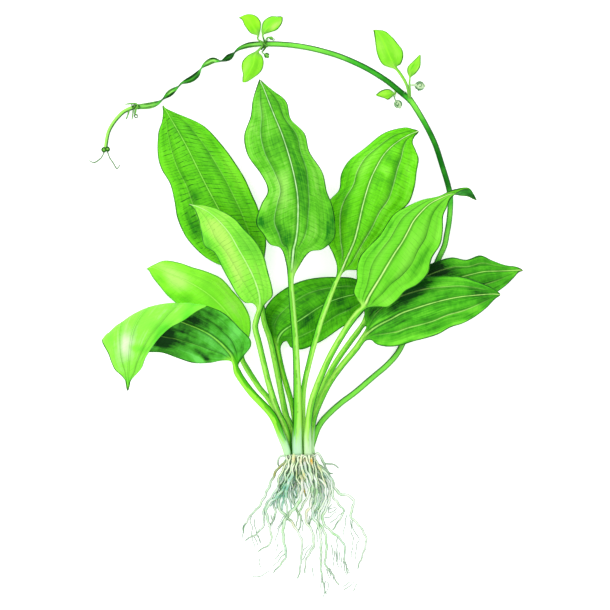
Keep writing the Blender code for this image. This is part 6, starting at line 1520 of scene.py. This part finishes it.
# Roots that crowd on the table beneath the others, in plan.
UNDER_ROOTS = (
    ((-11, -6), (-15, -14), (-19, -24), (-22, -34), (-25, -44), (-30, -52)),
    ((-9, -6), (-13, -15), (-17, -25), (-19, -36), (-22, -46), (-24, -54)),
    ((-8, -6), (-11, -15), (-14, -26), (-16, -37), (-17, -48), (-19, -58)),
    ((-6, -6), (-8.4, -15), (-11, -26), (-12, -37), (-10, -47), (-8, -56)),
    ((-4, -6), (-5.4, -15), (-7, -25), (-8, -34), (-6, -43), (-5, -52)),
    ((-2, -6), (-2.6, -15), (-3.6, -24), (-4.4, -34), (-3, -44)),
    ((0, -6), (0.4, -14), (0, -22), (-0.6, -30), (1, -36)),
    ((2, -6), (3.4, -14), (4.4, -22), (5, -28)),
    ((4, -6), (6.4, -14), (8.6, -22), (9.8, -29)),
    ((6, -6), (9.4, -14), (12, -22), (14, -32), (15, -42), (13, -52)),
    ((8, -6), (12, -14), (15, -22), (18, -32), (20, -42), (17, -54), (15, -62)),
    ((10, -6), (15, -14), (19, -22), (22, -32), (23, -44), (20, -56), (18, -68)),
    ((11, -6), (18, -13), (23, -20), (27, -28), (29, -36)),
)
ROOT_STEP = 1.0               # spacing of the points of a main root
SHORT_ROOT_STEP = 0.8         # and of those that are given by x, y, z
ROOT_CURVE_POINTS = 12        # first points between two rows of a root's plan
ROOT_RUN_DOWN = 48.0          # length over which a root comes down from the crown to the table
ROOT_TIP_RADIUS = 0.55
ROOT_CLEARANCE = 0.7          # between roots that cross
ROOT_HUMP = 13                # half length of the hump that carries one root over another
ROOT_HUMP_FULLNESS = 1.25
ROOT_TAPER = 2.0
ROOT_WAVE = 0.4
ROOT_WAVE_LENGTH = 1.7
ROOT_LINE = 0.47              # how much of a root's half width its dark edge takes up, mm
ROOT_FAN = (0.8, 0.92)        # how far in a root's first two points lie towards the crown's middle
ROOT_BACK = (10.5, 5.5)       # how far up into the crown they lie
ROOT_THINNER = 0.9            # radius of the first of them, as a share of the root's
HIGH_ROOTS = 17               # roots that start above this height start higher still, so that they show
HIGH_ROOTS_RISE = 1.12
SECOND_POINT_RISE = 0.12
UNDER_START = 10.0            # height at the crown of the roots beneath
UNDER_RADIUS = 1.9
UNDER_TAPER = 2.5
UNDER_RISES = (-32, -4)       # they rise to the crown between these y
ROOT_SWELLS = (0.06, 2.3), (0.05, 0.9)      # how strongly a root's thickness changes, and how often
ROOT_SHADE_Y, ROOT_SHADE_Z = (-32, -18), (15, 5)    # a root gets into the crown's shade between these


def even_route(rows, spacing):
    """Points of a smooth curve through the rows, one spacing apart, which waver a little."""
    fine = flow(rows, [ROOT_CURVE_POINTS] * (len(rows) - 1))
    reach = travelled(fine[:, :2])
    spots = np.linspace(0, reach[-1], round(reach[-1] / spacing) + 1)
    fine = np.column_stack([np.interp(spots, reach, column) for column in fine.T])
    aside = np.gradient(fine, axis=0)[:, ::-1] * (1, -1) / spacing
    return fine + aside * (ROOT_WAVE * np.sin(spots / ROOT_WAVE_LENGTH + rows[-1][0]))[:, None]


def lay_roots():
    """Every main root's points and radii, each laid over the earlier ones in smooth humps."""
    laid = {}
    earlier = np.empty((0, 4))
    for name, (start_z, start_radius, plan) in ROOTS.items():
        fine = even_route(plan, ROOT_STEP)
        share = np.linspace(0, 1, len(fine))
        radii = start_radius + (ROOT_TIP_RADIUS - start_radius) * share ** ROOT_TAPER
        apart = np.linalg.norm(fine[:, None] - earlier[None, :, :2], axis=2)
        reach = radii[:, None] + earlier[None, :, 3] + ROOT_CLEARANCE
        over = earlier[None, :, 2] + np.sqrt(np.clip(reach ** 2 - apart ** 2, 0, None))
        needed = np.maximum(radii, np.where(apart < reach, over, 0).max(axis=1, initial=0))
        down = np.clip(1 - np.arange(len(fine)) / ROOT_RUN_DOWN, 0, 1)
        height = radii + (start_z - start_radius) * down * down * (3 - 2 * down)
        for step in range(-ROOT_HUMP, ROOT_HUMP + 1):
            fall = min(1.0, math.cos(math.pi / 2 * step / (ROOT_HUMP + 1)) ** 2 * ROOT_HUMP_FULLNESS)
            near = np.clip(np.arange(len(fine)) + step, 0, len(fine) - 1)
            height = np.maximum(height, radii[near] + (needed[near] - radii[near]) * fall)
        laid[name] = np.column_stack([fine, height, radii])
        earlier = np.vstack([earlier, laid[name]])
    return laid


def root_skin(name, rows, sides=12, dim=0.5):
    """A root's skin, slightly uneven in thickness, and in shade where it is deep under the crown."""
    reach = travelled(rows[:, :3])
    (swell, swell_length), (ring, ring_length) = ROOT_SWELLS
    radii = rows[:, 3] * (1 + swell * np.sin(reach / swell_length + rows[0, 0])
                          + ring * np.sin(reach / ring_length))
    shade = np.clip(ease(*ROOT_SHADE_Y, rows[:, 1]) * ease(*ROOT_SHADE_Z, rows[:, 2]) * dim, 0, 1)
    return sleeve(name, rows[:, :3], radii, sides=sides, shade=shade, rim=ROOT_LINE / radii,
                  **stain_and_shade_marks(rows))


plain_white = root_white("root_plain")
for name, rows in lay_roots().items():
    x, y, z, radius = rows[0]
    rise = HIGH_ROOTS_RISE if z > HIGH_ROOTS else 1.0
    z -= CROWN_MIDDLE
    start = [(x * ROOT_FAN[0], y + ROOT_BACK[0], CROWN_MIDDLE + z * rise, radius * ROOT_THINNER),
             (x * ROOT_FAN[1], y + ROOT_BACK[1], CROWN_MIDDLE + z * (rise + SECOND_POINT_RISE), radius)]
    start = traced([*start, tuple(rows[3])], ROOT_STEP)
    grown(root_skin(name + "_skin", np.vstack([start[:-1], rows[3:]])), plain_white, name)
for name, rows in SIDE_ROOTS.items():
    grown(root_skin(name + "_skin", traced(rows, SHORT_ROOT_STEP)), plain_white, name)

front_white = root_white("root_front", (208, 238, 186), (238, 252, 220), (140, 184, 116), (42, 90, 48),
                         (230, 184, 80), 0.9)
front_skins = [root_skin("front", traced(rows, SHORT_ROOT_STEP), dim=0.0) for rows in FRONT_ROOTS]
grown(gathered("root_front_skins", front_skins), front_white)

under_white = root_white("root_under", (200, 244, 212), (226, 252, 232), (146, 208, 172), (92, 150, 122),
                         lit=0.62)
under_skins = []
for plan in UNDER_ROOTS:
    fine = even_route(plan, ROOT_STEP)
    share = np.linspace(0, 1, len(fine))
    radii = UNDER_RADIUS + (ROOT_TIP_RADIUS - UNDER_RADIUS) * share ** UNDER_TAPER
    height = radii + UNDER_START * ease(*UNDER_RISES, fine[:, 1])
    under_skins.append(root_skin("under", np.column_stack([fine, height, radii]), sides=10, dim=0.6))
grown(gathered("root_under_skins", under_skins), under_white)

# ------------------------------------------------------------------ rootlets
# Hair-thin rootlets grow from the lower roots, mostly in small tufts, and lie on the table between
# them. They are the same pale tissue, greyer because they are so thin.

# Each rootlet's way in plan: those that end in hairs below the roots and between them.
ROOTLETS = (
    ((28.8, -53.2), (30.6, -51.4), (32.8, -50.3)), ((28.8, -55.7), (32, -54), (35.7, -52.7)),
    ((29.8, -58.2), (34, -56.6), (37.7, -54.2)),
    ((24.9, -63.6), (29.8, -62.6), (34.7, -59.2), (36.2, -57.2)),
    ((28.3, -53.2), (28.4, -56), (29.3, -59.2)), ((30.8, -69), (35.4, -64.8), (41.7, -59.2)),
    ((33.4, -76), (38.4, -67), (43.2, -59.6)), ((46.6, -61.1), (44.6, -74), (42.7, -81.9)),
    ((50.8, -66), (51.1, -74), (52, -80.9), (53.5, -84.9), (52.5, -94.7), (51.1, -103.6)),
    ((52, -67), (53.5, -76), (57.5, -80.9), (59, -85.9), (56.5, -92.8), (55.5, -105.6)),
    ((37.2, -82.9), (37.2, -90.8), (36.2, -100.7), (36.7, -107.6)),
    ((34.7, -96.7), (33.8, -104.6), (33.3, -112.5)), ((37.7, -97.7), (37.2, -105.6), (38.7, -113.5)),
    ((39.7, -98.7), (39.6, -103), (40.2, -106.6)), ((41.7, -103.6), (41.4, -109), (41.7, -114.5)),
    ((43.6, -107.6), (44.6, -114.5), (46.6, -121.4)), ((45.6, -108.6), (47.6, -114.5), (49.6, -119.4)),
    ((31.8, -90.8), (32.2, -96), (33.3, -101.7)), ((26.3, -115.5), (28.8, -121.4), (29.8, -125.4)),
    ((29.2, -114), (31.8, -118.4), (34.7, -121.4)), ((31.8, -118.4), (33, -122), (33.3, -126.4)),
    ((29.4, -115.4), (30.4, -119), (30.8, -122.4)), ((21, -100), (20.6, -110), (20.4, -117)),
    ((21.9, -121.4), (21.4, -128.3), (20.9, -134.3)), ((24.9, -127.3), (24.4, -138.2), (23.4, -144.1)),
    ((28.3, -128.3), (28, -133), (27.3, -138.2)), ((43.6, -132.3), (47, -130), (50.5, -128.3)),
    ((44.6, -136.2), (49.6, -132), (54.5, -128.3)), ((53.5, -137.2), (55.4, -133.4), (57.5, -130.3)),
    ((1.6, -98.7), (5.1, -94.7), (9, -90.8)), ((3.1, -105.6), (5, -101), (8.1, -96.7), (12, -90.8)),
    ((13, -114), (12.8, -120), (13.4, -126)),
    ((-14.7, -63.1), (-19.6, -72), (-22.6, -78.9), (-24.5, -86.8)),
    ((-16.6, -66), (-20, -70), (-22.6, -75)), ((-12.6, -59), (-16.6, -63), (-20.6, -68)),
    ((-21.6, -89.8), (-22.8, -93), (-24.5, -96.7)), ((-17.6, -96.7), (-21.4, -101), (-25.5, -105.6)),
    ((-14.6, -98.6), (-23.4, -108.6), (-27.4, -112.6)), ((-29.5, -61.1), (-27.5, -66), (-26, -67)),
    ((-49.2, -61.1), (-49.7, -68.1), (-47.8, -75), (-48.8, -81.9), (-46.3, -88.8), (-45.8, -93.8)),
    ((-46.3, -65.1), (-44.8, -75), (-43.3, -79.9), (-39.4, -88.8)),
    ((-45.8, -82.9), (-43.3, -88.8), (-41.8, -91.8)), ((-42.3, -81.9), (-41, -85), (-39.4, -88.8)),
    ((-55.2, -69), (-57.6, -75), (-57.2, -84.9)),
    ((-47.3, -122.4), (-40.4, -122.9), (-35.4, -119.4), (-30.5, -117.5)),
    ((-40.4, -103.6), (-40.8, -108.6), (-39.4, -114.5)), ((-25, -60), (-26, -66), (-28.6, -72)),
    ((9.4, -62), (9, -68), (10.6, -74)), ((1, -64), (3, -70), (2.4, -77)),
    ((18, -72), (16.6, -80), (18, -88)))
ROOTLET_STEP = 1.2
ROOTLET_RADIUS = 0.48
ROOTLET_TAPER = (1.05, 0.4)   # its radius at the root, and what it loses of that towards its tip
ROOTLET_START = 1.1           # height above the table at the root
ROOTLET_ARCH = 0.35           # in turn, rootlets arch none, one, two and three times this high

rootlet_white = root_white("rootlet", (196, 218, 200), (214, 232, 214), (176, 200, 180), (150, 178, 156))
rootlet_skins = []
for index, plan in enumerate(ROOTLETS):
    fine = even_route(plan, ROOTLET_STEP)
    share = np.linspace(0, 1, len(fine))
    radii = ROOTLET_RADIUS * (ROOTLET_TAPER[0] - ROOTLET_TAPER[1] * share)
    height = radii + ROOTLET_START * (1 - share) + ROOTLET_ARCH * (index % 4) * np.sin(math.pi * share)
    rootlet_skins.append(root_skin("rootlet", np.column_stack([fine, height, radii]), sides=6, dim=0.0))
grown(gathered("rootlet_skins", rootlet_skins), rootlet_white)
